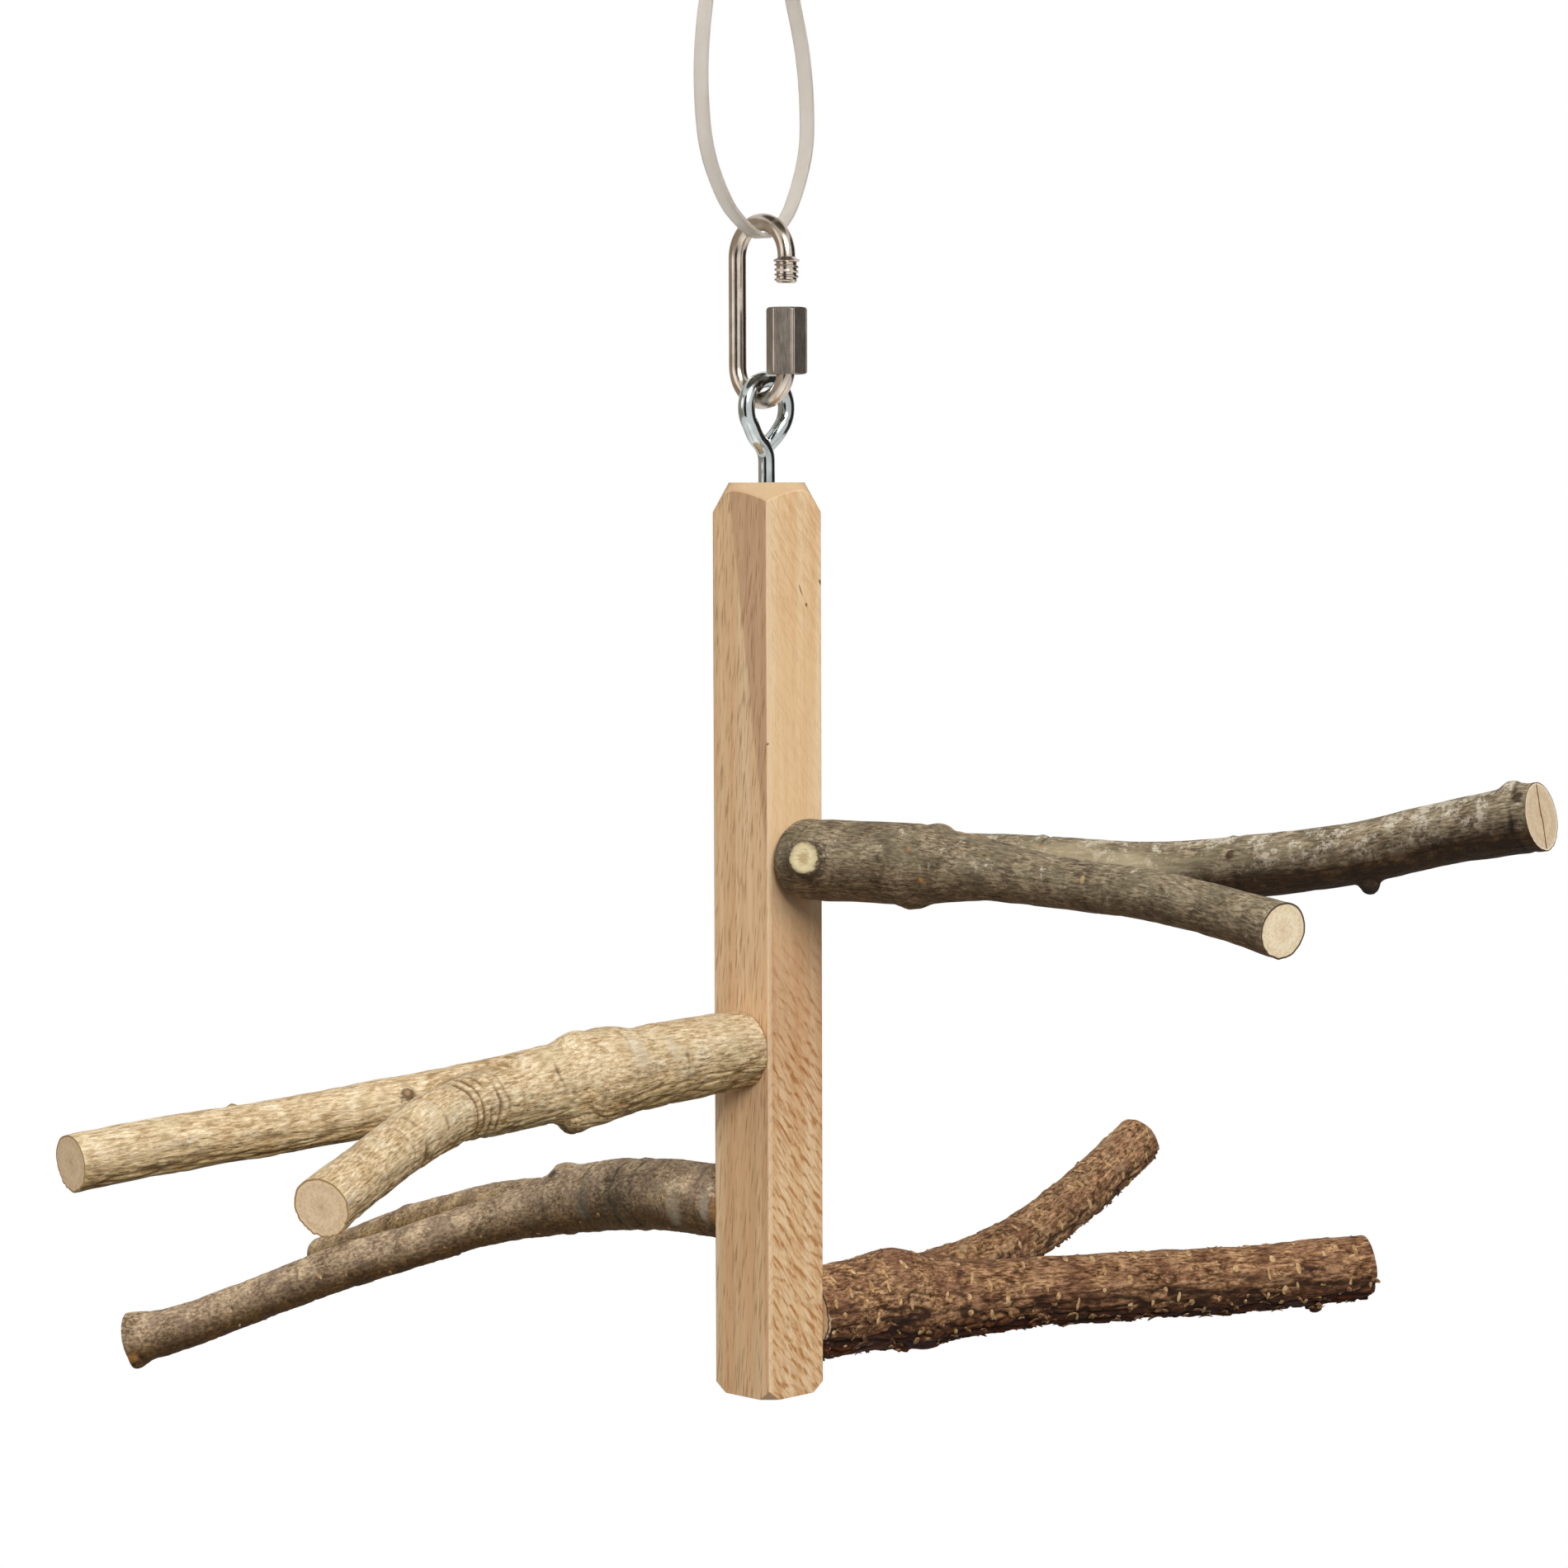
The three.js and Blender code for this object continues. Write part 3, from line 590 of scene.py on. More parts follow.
def makeBeech():      # planed beech: short pores along the grain, arched rings on one face, a dark heart on the other
    material, add = newMaterial("planedBeech")
    inMm = add("VectorMath", add("TexCoord", out="Object"), 1 / mm, operation="SCALE")
    x, y, z = add("SeparateXYZ", inMm, out="all")
    down = add("Math", hang["postTop"], z, operation="SUBTRACT")
    onSide, onFront = (add("MapRange", add("Math", axis, operation="ABSOLUTE"), *post["face"]) for axis in (x, y))

    # ground tone in long broad bands, duller where the ends are cut
    grain = add("Mapping", Vector=inMm, Scale=(1, 1, 1 / post["bandStretch"]))
    broad = add("TexNoise", grain, 1 / post["bandWidth"], 3)
    tone = add("ValToRGB", broad, stops=[(0.32, "#E0B88B"), (0.5, "#E6C499"), (0.68, "#EBCFA7")])
    ends = add("MapRange", add("Math", onSide, onFront, operation="MAXIMUM"), None, None, 0.8, 0)

    # heart: a darker wedge on the -Y face, wide at the top
    streak = add("TexNoise", grain, 1 / post["streakWidth"], 3)
    edge = add("Math", down, -post["heartLean"], x, operation="MULTIPLY_ADD")
    edge = add("Math", streak, 1.2, edge, operation="MULTIPLY_ADD")
    heart = add("MapRange", edge, -3.7, -3.2, None, 0.62)
    heart = add("Math", heart, add("MapRange", y, -8.6, -9.9), operation="MULTIPLY")

    # long fine pores on the front and back faces
    pores = add("Mapping", Vector=inMm, Rotation=(0, math.radians(post["poreLean"]), 0),
                Scale=(1, 1, post["poreStretch"]), vector_type="TEXTURE")
    lines = add("MapRange", add("TexNoise", pores, 1 / post["poreWidth"], 2, 0.5), 0.46, 0.33)
    lines = add("Math", lines, 0.62, operation="MULTIPLY")
    faint = add("MapRange", onFront, None, None, 0.3, 1.0)
    lines = add("Math", lines, faint, operation="MULTIPLY")
    fibre = add("MapRange", streak, 0.35, 0.65, 0.93, 1.07)

    # growth rings on the side faces: arches with their tops near the front edge, broken up by rays that lean alike
    aside = add("Math", add("Math", y, post["ringMiddle"], operation="ADD"), operation="ABSOLUTE")
    arch = add("Math", aside, post["ringSlope"], z, operation="MULTIPLY_ADD")
    waver = add("TexNoise", inMm, 1 / post["waverLength"], 3)
    arch = add("Math", waver, post["ringWaver"], arch, operation="MULTIPLY_ADD")
    arch = add("Math", add("Math", arch, 1 / post["ringPitch"], operation="MULTIPLY"), operation="FRACT")
    late = add("ValToRGB", arch, stops=[(0.45, 0.0), (0.74, 1.0), (0.92, 0.0)])
    leaning = add("Mapping", Vector=inMm, Rotation=(math.radians(post["rayLean"]), 0, 0),
                  Scale=(1, 1, post["rayStretch"]), vector_type="TEXTURE")
    rays = add("TexNoise", leaning, 1 / post["rayWidth"], 4, 0.66)
    dashes = add("MapRange", rays, 0.55, 0.38)
    low = add("MapRange", down, *post["ringsFrom"])
    high = add("MapRange", down, *post["raysFrom"], None, 0.45)
    late = add("Math", late, low, operation="MULTIPLY")
    both = add("Math", add("Math", low, high, operation="ADD"), 0.5, 0.12, operation="MULTIPLY_ADD")
    broken = add("Math", add("Math", late, both, operation="ADD"), dashes, operation="MULTIPLY")
    broken = add("Math", late, 0.3, broken, operation="MULTIPLY_ADD")
    broken = add("Math", broken, onSide, operation="MULTIPLY", use_clamp=True)

    # a redder zone half way down the side faces
    share = add("Math", down, post["length"], operation="DIVIDE")
    blush = add("ValToRGB", share, stops=[(0.38, 0.0), (0.5, 1.0), (0.6, 1.0), (0.76, 0.0)])
    blush = add("Math", blush, onSide, operation="MULTIPLY")

    # a pale strip along the front edge of the +X face, where the arches turn over
    strip = add("Math", rays, 2.6, y, operation="MULTIPLY_ADD")
    strip = add("Math", add("MapRange", strip, -7.1, -7.7, None, 0.5), onSide, operation="MULTIPLY")

    # painted shade: onFront times #F7F0EC darkens the Y faces, the seen one being the face that the key light reaches
    # less
    layers = [(ends, "#C7A983"), (heart, "#C09B7A"), (lines, "#A0764A"), (onFront, fibre, "MULTIPLY"),
              (broken, "#B57F4C"), (blush, "#EBDFD8", "MULTIPLY"), (onFront, "#F7F0EC", "MULTIPLY"), (strip, "#F0D8B4")]
    for (across, under), lean, width, long in post["cracks"]:
        away = add("Mapping", Vector=inMm, Location=(post["side"] / 2, across, hang["postTop"] + under),
                   Rotation=(math.radians(lean), 0, 0), Scale=(1, width, long / 2), vector_type="TEXTURE")
        away = add("Math", rays, 1.6, add("VectorMath", away, operation="LENGTH"), operation="MULTIPLY_ADD")
        layers.append((add("MapRange", away, 1.9, 1.3, None, 0.85), "#5B3C22"))

    sunk = add("Math", lines, broken, operation="ADD")
    look = {"Roughness": 0.6, "Specular IOR Level": 0.3}
    return closeMaterial(material, add, tone, layers, (sunk, 0.5, 0.12), look, invert=True)


def makePost():
    top, side, length = hang["postTop"], post["side"], post["length"]
    corner = side / math.sqrt(2)
    spare = 5      # mm of strip past each turned end
    steps = 192
    bm = bmesh.new()
    bmesh.ops.create_cube(bm, size=1)
    bmesh.ops.scale(bm, verts=bm.verts, vec=(side, side, length + 2 * spare))
    upright = [e for e in bm.edges if abs(e.verts[0].co.z - e.verts[1].co.z) > 1]
    bmesh.ops.bevel(bm, geom=upright, offset=post["edgeBreak"], segments=2, affect="EDGES", profile=0.5)
    bmesh.ops.translate(bm, verts=bm.verts, vec=(0, 0, top - length / 2))
    strip = newObject("strip", finishMesh(bm, "strip"))
    bm = bmesh.new()
    waist = corner + 0.05      # just past the strip's corners, so that its length stays uncut
    rings = []
    for long, short, z in ((corner - post["bottomDepth"], corner - post["bottomDepth"], -length),
                           (waist, waist, post["bottomCut"] - length),
                           (waist, post["topShort"] + post["topRun"], -post["topCut"]),
                           (post["topLong"], post["topShort"], 0)):
        ring = []
        for angle in (2 * math.pi * k / steps for k in range(steps)):
            a, b = long * math.cos(angle), short * math.sin(angle)
            ring.append(((a - b) * root, (a + b) * root, z + top))
        rings.append(ring)
    ringBody(bm, rings)
    ends = newObject("ends", finishMesh(bm, "ends"))
    cut = strip.modifiers.new("turnedEnds", "BOOLEAN")
    cut.operation = "INTERSECT"
    cut.solver = "EXACT"
    cut.object = ends
    bm = bmesh.new()
    bm.from_mesh(plainMesh(strip))
    bpy.data.objects.remove(ends)
    bmesh.ops.remove_doubles(bm, verts=bm.verts, dist=0.002)
    bmesh.ops.scale(bm, verts=bm.verts, vec=(mm, mm, mm))
    newPiece("postStrip", finishMesh(bm, "postStrip", [makeBeech()], 20), "perch", "beech", "post")


makePost()
print("post done")


# branches: natural forks, sawn off square at every end
barkVoxel = 0.5       # mm between the points of a branch's skin
forkFillet = 1.6      # mm over which two limbs flow into each other
footGap = 0.3         # mm of air between a branch's foot and the post
sawOver = 5           # mm that a limb is grown past its cut
barkRim = 0.8         # mm of bark round a sawn end
limbStep = 0.7        # mm between the points of a limb's middle line
evenOver = 5          # points on either side over which a limb's thickness is evened out
domedFoot = 12        # mm: a limb that starts thinner than this has a domed foot
bareFoot = 2.5        # mm at the foot where nothing grows on the bark
barkScale = (6.5, 2.6, 2.6)      # mm along the limb and across it, size of a loose bark scale
blockSize = 20000     # points handled at a time, to spare memory
crustSize = 4.2       # mm between islands of lichen
cropCloud = 1.6       # mm between light and dark on what grows on the bark
waves = {"lump": 13, "smallLump": 5.5, "ridge": 2.4, "smallRidge": 1.4, "waver": (9, 6, 6), "gaps": (7, 6, 6),
         "loose": 12}      # mm, lengths of the waves in the bark's relief
endGrain = {"wobble": 5, "halfRing": 1.6, "fibre": 0.9, "pith": (2.6, 1.2), "crack": (0.36, 0.2)}      # mm
# stations: mm out from the post, sideways, up, and the diameter there; knots: a ball in the same terms
# rings: limb, mm along it, width, height; flats: place, the way out, reach
# marks: place, radius along and across, height, tone, how far it melts into the bark
# bark: under holds the tones of the painted shade on the underside of the main limb and the fork, and the pair after it
# says where that shade begins on each
branches = [
    {
        "piece": "branchRightUpper", "node": "branch_right_upper", "slot": "bark_grey", "turn": 0, "drop": 97,
        "seed": 11,
        "main": [
            [-2, 0, 0, 10.5], [0, 0, 0, 14.8], [0.6, 0, 0, 16.4], [1.5, 0, 0, 18.3], [2.5, 0, 0, 19.6],
            [3.6, 0, 0, 20.5], [5, 0, 0, 20.9], [9, 0, 0, 20.9], [13, 0, 0.2, 20.9], [26, 0, 0.6, 20.6],
            [43, 0, 1, 20.8], [69, -1, 0.8, 14.5], [99, -4, -0.3, 12.4], [128, -8, -0.8, 12.2],
            [156, -12, -3.6, 12.4], [172, -15, -5.5, 13.3],
        ],
        "fork": [
            [36, 1, 1, 14], [56, 4.8, 1.9, 14.8], [69, 8.8, 2.1, 14.8], [104, 20, 1.5, 15], [133, 30, 4.6, 15.2],
            [155, 37, 8.3, 15], [174.7, 42.5, 13.6, 15], [199.6, 46.5, 18.6, 16.3],
        ],
        "knots": [[13.7, -9.2, 1.2, 10.4], [43.5, -2, -5.4, 9], [50, 1, 8.3, 6.4], [193, 44.5, 24, 5.5],
                  [157.5, 36.5, 0.6, 4.8]],
        "rings": [(1, 40.5, 0.9, 0.35), (1, 42.6, 0.6, -0.4), (1, 92, 0.9, 0.4), (1, 94, 0.7, -0.22),
                  (1, 96, 0.9, 0.3), (1, 168, 0.8, -0.4), (0, 114, 0.5, -0.25), (0, 46, 0.6, -0.2),
                  (0, 14, 0.8, -0.25)],
        "flats": [((15.3, -12.3, 1.8), (0.46, -0.86, 0.2), 6)],
        "marks": [
            # the first mark, dark at the right side of the sawn twig's scar, is a painted shadow
            ((17.2, -11.8, 1.0), (4.4, 4.4, 5.4), 0, "#33281D", 0.5),
            ((15.4, -12.4, 1.8), (4.3, 4.1, 4.7), 0, "#4A3D30", 0.2),
            ((15.4, -12.4, 1.8), (3.7, 3.5, 4.1), 0, "#C0AF87", 0.05),
            ((15.4, -12.4, 1.8), (3.1, 2.9, 3.4), 0, "#D8C9A2", 0.3),
            ((15.4, -12.4, 1.9), (1.4, 1.3, 1.7), 0, "#A68C62", 0.7),
            ((103.6, 12.4, 4.4), (16, 6, 2.4), 0, "#BBAD8C", 0.85), ((86, 7.6, 6.4), (12, 5, 2.2), 0, "#AB9C7E", 0.85),
            ((52.5, 1.9, 10.2), (2.4, 0.8, 1.6), 0.4, "#A98B63", 0.4),
            ((56.3, 2.1, 9.4), (2.4, 0.8, 1.6), 0.4, "#A98B63", 0.4),
            ((60, 2.5, 8.6), (2.4, 0.8, 1.6), 0.4, "#A98B63", 0.4),
            ((63.6, 2.8, 7.7), (2.2, 0.8, 1.6), 0.3, "#9A7D58", 0.4),
            ((48.4, -8.6, 5.6), (0.8, 0.8, 0.9), 0.5, "#9C7650", 0.25),
            ((52.8, -8.9, -2.0), (0.8, 0.8, 0.9), 0.4, "#A9763F", 0.25),
            ((107.7, -10.8, 2.0), (0.8, 0.8, 1.2), 0.3, "#B79C70", 0.25),
            ((78.9, 6.5, 7.8), (0.8, 0.8, 0.7), 0.5, "#8F6A44", 0.25),
            ((127.2, 21.0, 7.1), (1.0, 1.6, 1.4), 0.8, "#4A3524", 0.25),
            ((197.2, 40.1, 23.6), (1.6, 1.6, 1.6), 0.5, "#3B2C20", 0.25),
            ((158.7, 34.4, 0.0), (2.8, 2.8, 2.6), 0, "#2A211A", 0.4),
        ],
        "lump": 0.15, "ridge": 0.08, "ridgeStretch": 6, "plate": 0, "fissure": (0.2, 2.3, 7),
        "bark": {
            "tones": ("#4F4233", "#82735C", "#AB9C82"), "stretch": 4.5, "fleck": 0.6, "broad": 8, "mottle": 0.36,
            "patch": "#7A7059", "bump": 0.35, "pale": "#CFC5B2", "paleShare": 0.585, "forkPale": 0.066,
            "crack": "#2E251B", "crackSpace": 1.5, "crackStretch": 9, "crackTop": 0.2, "crackUnder": 0.6,
            "under": ("#E9D5C4", "#6C5743"), "underShade": (0.05, 0.4),
        },
        "wood": {"tones": ("#DCC49C", "#F2E4C8"), "rim": "#4A3826", "pith": "#C99C78", "split": 1},
        "scatter": [],
    },
    {
        "piece": "branchLeftUpper", "node": "branch_left_upper", "slot": "bark_tan", "turn": -90, "drop": 147,
        "seed": 23,
        "main": [
            [-2, 0, 0, 19.8], [0.5, 0, 0, 20.3], [4, 0, 0, 20.7], [14, 0, -0.2, 20.8], [29, 0, -0.8, 21.2],
            [45, 0, -1.6, 21], [60, -1, -1.2, 18], [82, -3, -1.3, 13.8], [104, -8, -3.3, 13.5],
            [127, -12, -5, 13.3], [149, -16, -6.7, 13.2], [170, -20, -8, 13.4], [195, -23, -9.9, 13.6],
        ],
        "fork": [
            [40, 0, -1.8, 18], [68, 0.5, -3, 17.4], [86, 2, -4.3, 16.4], [99.5, 5, -4.6, 15.8], [115, 11, -6, 15],
            [130.3, 17, -9.2, 14], [144.8, 22.5, -12.9, 13.9], [163.7, 30, -17.8, 14.5],
        ],
        "knots": [[58, 0, 5.2, 10], [48, 0, -0.4, 19.4], [61, 2, -10.8, 8.5], [54, 1.5, -5.2, 16],
                  [110, -3.5, -1.2, 5]],
        "rings": [(1, 29.7, 0.7, -0.35), (1, 45, 0.6, -0.2), (1, 51, 0.6, -0.3), (1, 54.4, 0.8, -0.5),
                  (1, 58, 0.8, -0.5), (1, 62, 0.8, -0.5), (1, 66, 0.9, -0.5), (1, 71, 0.6, -0.25),
                  (1, 80, 0.7, -0.25), (1, 90.9, 0.8, -0.25), (1, 97, 0.6, -0.25), (1, 110, 0.6, -0.25),
                  (0, 52, 0.7, -0.25), (0, 34, 0.6, -0.2), (0, 100, 0.6, -0.2)],
        "flats": [],
        "marks": [
            ((111.3, -1.5, 0.1), (1.9, 1.9, 1.9), 0.5, "#6E543C", 0.25),
            ((111.6, -1.2, 0.4), (0.8, 0.8, 0.8), 0, "#A98C66", 0.25),
            ((79.8, -0.7, 6.2), (1.4, 1.4, 1.2), 0.7, "#8F7448", 0.25),
            ((152.2, -17.8, 0.0), (1.5, 1.5, 1.2), 0.9, "#8F7448", 0.25),
            ((63, 4.5, -13.8), (3.2, 3.2, 2.0), 0.3, "#5E4429", 0.5),
            ((44.9, 8.1, 5.5), (2.6, 3.2, 4.2), 0, "#DCD2BC", 1.0), ((33, 8.4, 4.6), (1.6, 3, 3), 0, "#D8CBB0", 1.0),
        ],
        "lump": 0.26, "ridge": 0.13, "ridgeStretch": 8, "plate": 0, "fissure": (0.42, 2.0, 8),
        "bark": {
            "tones": ("#A8895F", "#D0B68F", "#E8D8B9"), "stretch": 4.5, "fleck": 0.7, "broad": 8, "mottle": 0.3,
            "patch": "#CDB893", "bump": 0.7, "pale": "#E6DCC8", "paleShare": 0.58, "forkPale": 0,
            "crack": "#6A4E2B", "crackSpace": 1.5, "crackStretch": 8, "crackTop": 0.2, "crackUnder": 1.0,
            "under": ("#FAEED2", "#FFF6DE"), "underShade": (0, 0),
        },
        "wood": {"tones": ("#E2BF95", "#F8DEBA"), "rim": "#B08A58", "pith": "#B58A62", "split": 0},
        "scatter": [],
    },
    {
        "piece": "branchLeftLower", "node": "branch_left_lower", "slot": "bark_dark", "turn": 180, "drop": 189.3,
        "seed": 37,
        "main": [
            [-2, 0, 0, 19.6], [10, 0, -0.5, 19.6], [31, 0, -1.4, 19.1], [47, 0, -3.3, 19.4], [62, 2, -6.2, 18.6],
            [85, 12, -13.4, 12.6], [103, 26, -20.9, 12.1], [122, 40, -28.7, 12.6], [143, 53, -38.5, 11.9],
            [163, 66, -47.6, 12.8], [172, 71.4, -50, 14.6],
        ],
        "fork": [
            [52, 0, -4.6, 13], [72, 0, -7.6, 13.4], [96, 1, -11.8, 12.4], [129, 4, -21.2, 11.7],
            [156.7, 6.5, -31.4, 11.4], [167, 7.5, -34.4, 11],
        ],
        "knots": [[66, 3, -0.5, 8], [132, 3.5, -18.4, 5], [169.4, 72, -55, 6]],
        "rings": [(0, 105.3, 0.6, -0.22), (0, 107, 0.8, 0.25), (0, 75.2, 0.8, -0.35), (0, 72, 0.9, 0.3),
                  (0, 59, 0.7, -0.3), (0, 50, 1.2, 0.3), (0, 46, 0.7, -0.35), (0, 42, 1.0, 0.35),
                  (0, 38.5, 0.7, -0.35), (0, 199, 0.7, -0.15), (0, 150, 0.6, -0.25), (0, 28, 0.6, -0.2),
                  (0, 14, 0.6, -0.25)],
        "flats": [],
        "marks": [
            ((40, 8.9, -4.6), (6.5, 6, 9), 0, "#4A4333", 1.0), ((16.6, 9.5, -3.1), (2.3, 4, 5.6), 0, "#AA9E88", 0.8),
            ((4.5, 9.8, -0.3), (1.7, 4, 4.6), 0, "#B1A591", 0.8), ((0.6, 9.8, -1.3), (1.3, 3, 5.0), 0, "#A8723C", 0.6),
            ((166.9, 75.3, -54.2), (1.8, 1.8, 1.8), 0, "#A9783F", 0.25),
            ((66, 9, 1), (2.2, 3, 3), 0.4, "#3C3028", 0.7), ((52, 9.6, -5), (1.8, 5, 7), 0, "#7E7867", 0.9),
        ],
        "lump": 0.32, "ridge": 0.1, "ridgeStretch": 1.5, "plate": 0, "fissure": (0.2, 3.6, 2),
        "bark": {
            "tones": ("#745E46", "#B1997D", "#DAC19E"), "stretch": 1.6, "fleck": 0.8, "broad": 7, "mottle": 0.42,
            "patch": "#8E7767", "bump": 0.4, "pale": "#CDC0A2", "paleShare": 0.575, "forkPale": 0,
            "crack": "#33281D", "crackSpace": 2.4, "crackStretch": 1.2, "crackTop": 0.2, "crackUnder": 0.5,
            "under": ("#A28D6A", "#C9BD95"), "underShade": (0.2, 0.8),
        },
        "wood": {"tones": ("#B99A72", "#CDB28C"), "rim": "#4A3826", "pith": "#8A6A48", "split": 0},
        "scatter": [
            {"piece": "lichenSpecks", "count": 9000, "apart": 3.4, "long": 1.5, "wide": 0.9, "high": 0.3, "curl": 0,
             "turn": 90, "spread": 60, "underside": 0.2, "look": "lichenCrust", "slot": "bark_dark"},
        ],
    },
    {
        "piece": "branchRightLower", "node": "branch_right_lower", "slot": "bark_red", "turn": 90, "drop": 219.5,
        "seed": 41,
        "main": [
            [-2, 0, 0, 23.6], [11, 0, -0.5, 24.6], [27, 0, -0.5, 24.8], [42, -2, -2, 24.6], [61, -14, -1.2, 19.4],
            [79, -28, -0.1, 18.9], [100, -40, 0.1, 18.5], [121, -52, 0.3, 18.2], [143, -63, 0.9, 18],
            [154.3, -69, 1.4, 17.6],
        ],
        "fork": [
            [36, 1, 1.6, 15], [60, 1, 3.6, 14.6], [79, 2, 5.6, 14.4], [103, 5, 10.4, 14.3], [125, 9, 16.9, 14.1],
            [155, 14, 27.7, 14.2],
        ],
        "knots": [[35, -1, 1.6, 21.6], [42, -5, -4.4, 16], [140, -63, -7.4, 5]],
        "rings": [(0, 3.5, 0.8, 0.3), (0, 60, 0.9, -0.3)],
        "flats": [],
        "marks": [
            # the dark soft ovals under the knot and along the limb's underside are painted shade
            ((0.2, -11.7, -2.4), (0.9, 2, 4.5), 0, "#CBB595", 0.25), ((44, -6, -14), (5, 5, 3), 0, "#2E1B10", 0.9),
            ((80, -30, -8), (17, 17, 6.5), 0, "#241206", 0.9), ((106, -45, -7.5), (17, 17, 6.5), 0, "#241206", 0.9),
            ((133, -59, -7), (17, 17, 6.5), 0, "#241206", 0.9),
        ],
        "lump": 0.36, "ridge": 0.12, "ridgeStretch": 9, "plate": 1.1, "fissure": (0.85, 2.6, 8),
        "bark": {
            "tones": ("#55351B", "#97704F", "#CCA379"), "stretch": 3, "fleck": 0.8, "broad": 9, "mottle": 0.3,
            "patch": "#7C543F", "bump": 0.4, "pale": "#B99A74", "paleShare": 0.62, "forkPale": 0.1,
            "crack": "#24150B", "crackSpace": 2.0, "crackStretch": 6, "crackTop": 0.75, "crackUnder": 1.0,
            "under": ("#7E5014", "#AE8746"), "underShade": (0.04, -0.4),
        },
        "wood": {"tones": ("#B99A72", "#CDB28C"), "rim": "#3B2314", "pith": "#7A5A3C", "split": 0},
        "scatter": [
            {"piece": "lenticels", "count": 30000, "apart": 3.8, "long": 3.2, "wide": 1.4, "high": 0.55, "curl": 0,
             "turn": 90, "spread": 14, "underside": 0, "look": "corkLenticel", "slot": "bark_red"},
            {"piece": "barkFlakes", "count": 48000, "apart": 1.8, "long": 3.4, "wide": 1.3, "high": 0.35, "curl": 0.32,
             "turn": 0, "spread": 50, "underside": 0.85, "look": "barkFlake", "slot": "bark_red"},
        ],
    },
]


def placeOf(spec):      # a branch's turn about the post, and the middle of its foot in mm
    angle = math.radians(spec["turn"])
    half = post["side"] / 2
    return angle, Vector((math.cos(angle) * half, math.sin(angle) * half, hang["postTop"] - spec["drop"]))


def limbPath(stations, foot):      # even points with radius and frame along a limb, grown past its cuts
    p = np.array(stations, float)
    xyz = np.array([2 * p[0, :3] - p[1, :3], *p[:, :3], 2 * p[-1, :3] - p[-2, :3]])
    fine, width = [], []
    for k in range(len(p) - 1):
        a, b, c, d = xyz[k:k + 4]
        ta, tb, tc = (max(np.linalg.norm(v), 1e-6) ** 0.5 for v in (b - a, c - b, d - c))
        m1 = ((b - a) / ta - (c - a) / (ta + tb) + (c - b) / tb) * tb
        m2 = ((c - b) / tb - (d - b) / (tb + tc) + (d - c) / tc) * tb
        for t in np.linspace(0, 1, 40, endpoint=False):
            fine.append((2 * t ** 3 - 3 * t ** 2 + 1) * b + (t ** 3 - 2 * t ** 2 + t) * m1
                        + (3 * t ** 2 - 2 * t ** 3) * c + (t ** 3 - t ** 2) * m2)
            width.append(p[k, 3] + (p[k + 1, 3] - p[k, 3]) * t)
    tip = xyz[-2] - fine[-3]
    tip /= np.linalg.norm(tip)
    fine = np.array([*fine, xyz[-2], xyz[-2] + tip * sawOver])
    width = np.array([*width, p[-1, 3], p[-1, 3]])
    rounded = width[0] < domedFoot
    if foot:
        fine = np.concatenate([[fine[0] - [3, 0, 0]], fine])
        width = np.concatenate([[width[0] * 0.7 if rounded else width[0]], width])
    along = lengthAlong(fine)
    even = np.arange(0, along[-1], limbStep)
    points = resample(even, along, fine)
    radius = np.interp(even, along, width) / 2
    if not (foot and rounded):
        window = 2 * evenOver + 1
        radius = np.convolve(np.pad(radius, evenOver, "edge"), np.ones(window) / window, "valid")
    tangent = unit(np.gradient(points, axis=0))
    normal = [np.cross(tangent[0], [0, 1, 0.02])]
    normal[0] /= np.linalg.norm(normal[0])
    for t in tangent[1:]:
        n = normal[-1] - t * (normal[-1] @ t)
        normal.append(n / np.linalg.norm(n))
    normal = np.array(normal)
    return {"points": points, "radius": radius, "tangent": tangent, "normal": normal,
            "side": np.cross(tangent, normal), "along": even, "shift": 0.0,
            "end": p[-1, :3], "endAlong": tip, "endRadius": p[-1, 3] / 2}


def straighten(spots, limb):      # distance from one limb's skin, the way out, and the place as on a straight rod
    near = np.empty(len(spots), int)
    for first in range(0, len(spots), blockSize):
        block = spots[first:first + blockSize]
        gap = ((block[:, None, :] - limb["points"][None, ::2, :]) ** 2).sum(2)
        near[first:first + blockSize] = gap.argmin(1) * 2
    off = spots - limb["points"][near]
    ahead = rowDot(off, limb["tangent"][near])
    ahead[(near == 0) & (ahead < 0)] = 0      # a limb starts round, inside the other one
    off = off - limb["tangent"][near] * ahead[:, None]
    s = limb["along"][near] + ahead
    radius = np.interp(s, limb["along"], limb["radius"])
    place = np.stack([s + limb["shift"], rowDot(off, limb["normal"][near]),
                      rowDot(off, limb["side"][near])], axis=1)
    return np.linalg.norm(off, axis=1) - radius, unit(off), place, limb["tangent"][near]


def softJoin(first, second, wayFirst, waySecond, reach):      # union of two skins with a filleted valley
    mix = np.clip(0.5 + 0.5 * (second - first) / reach, 0, 1)
    joined = second + (first - second) * mix - reach * mix * (1 - mix)
    return joined, unit(waySecond + (wayFirst - waySecond) * mix[:, None]), mix


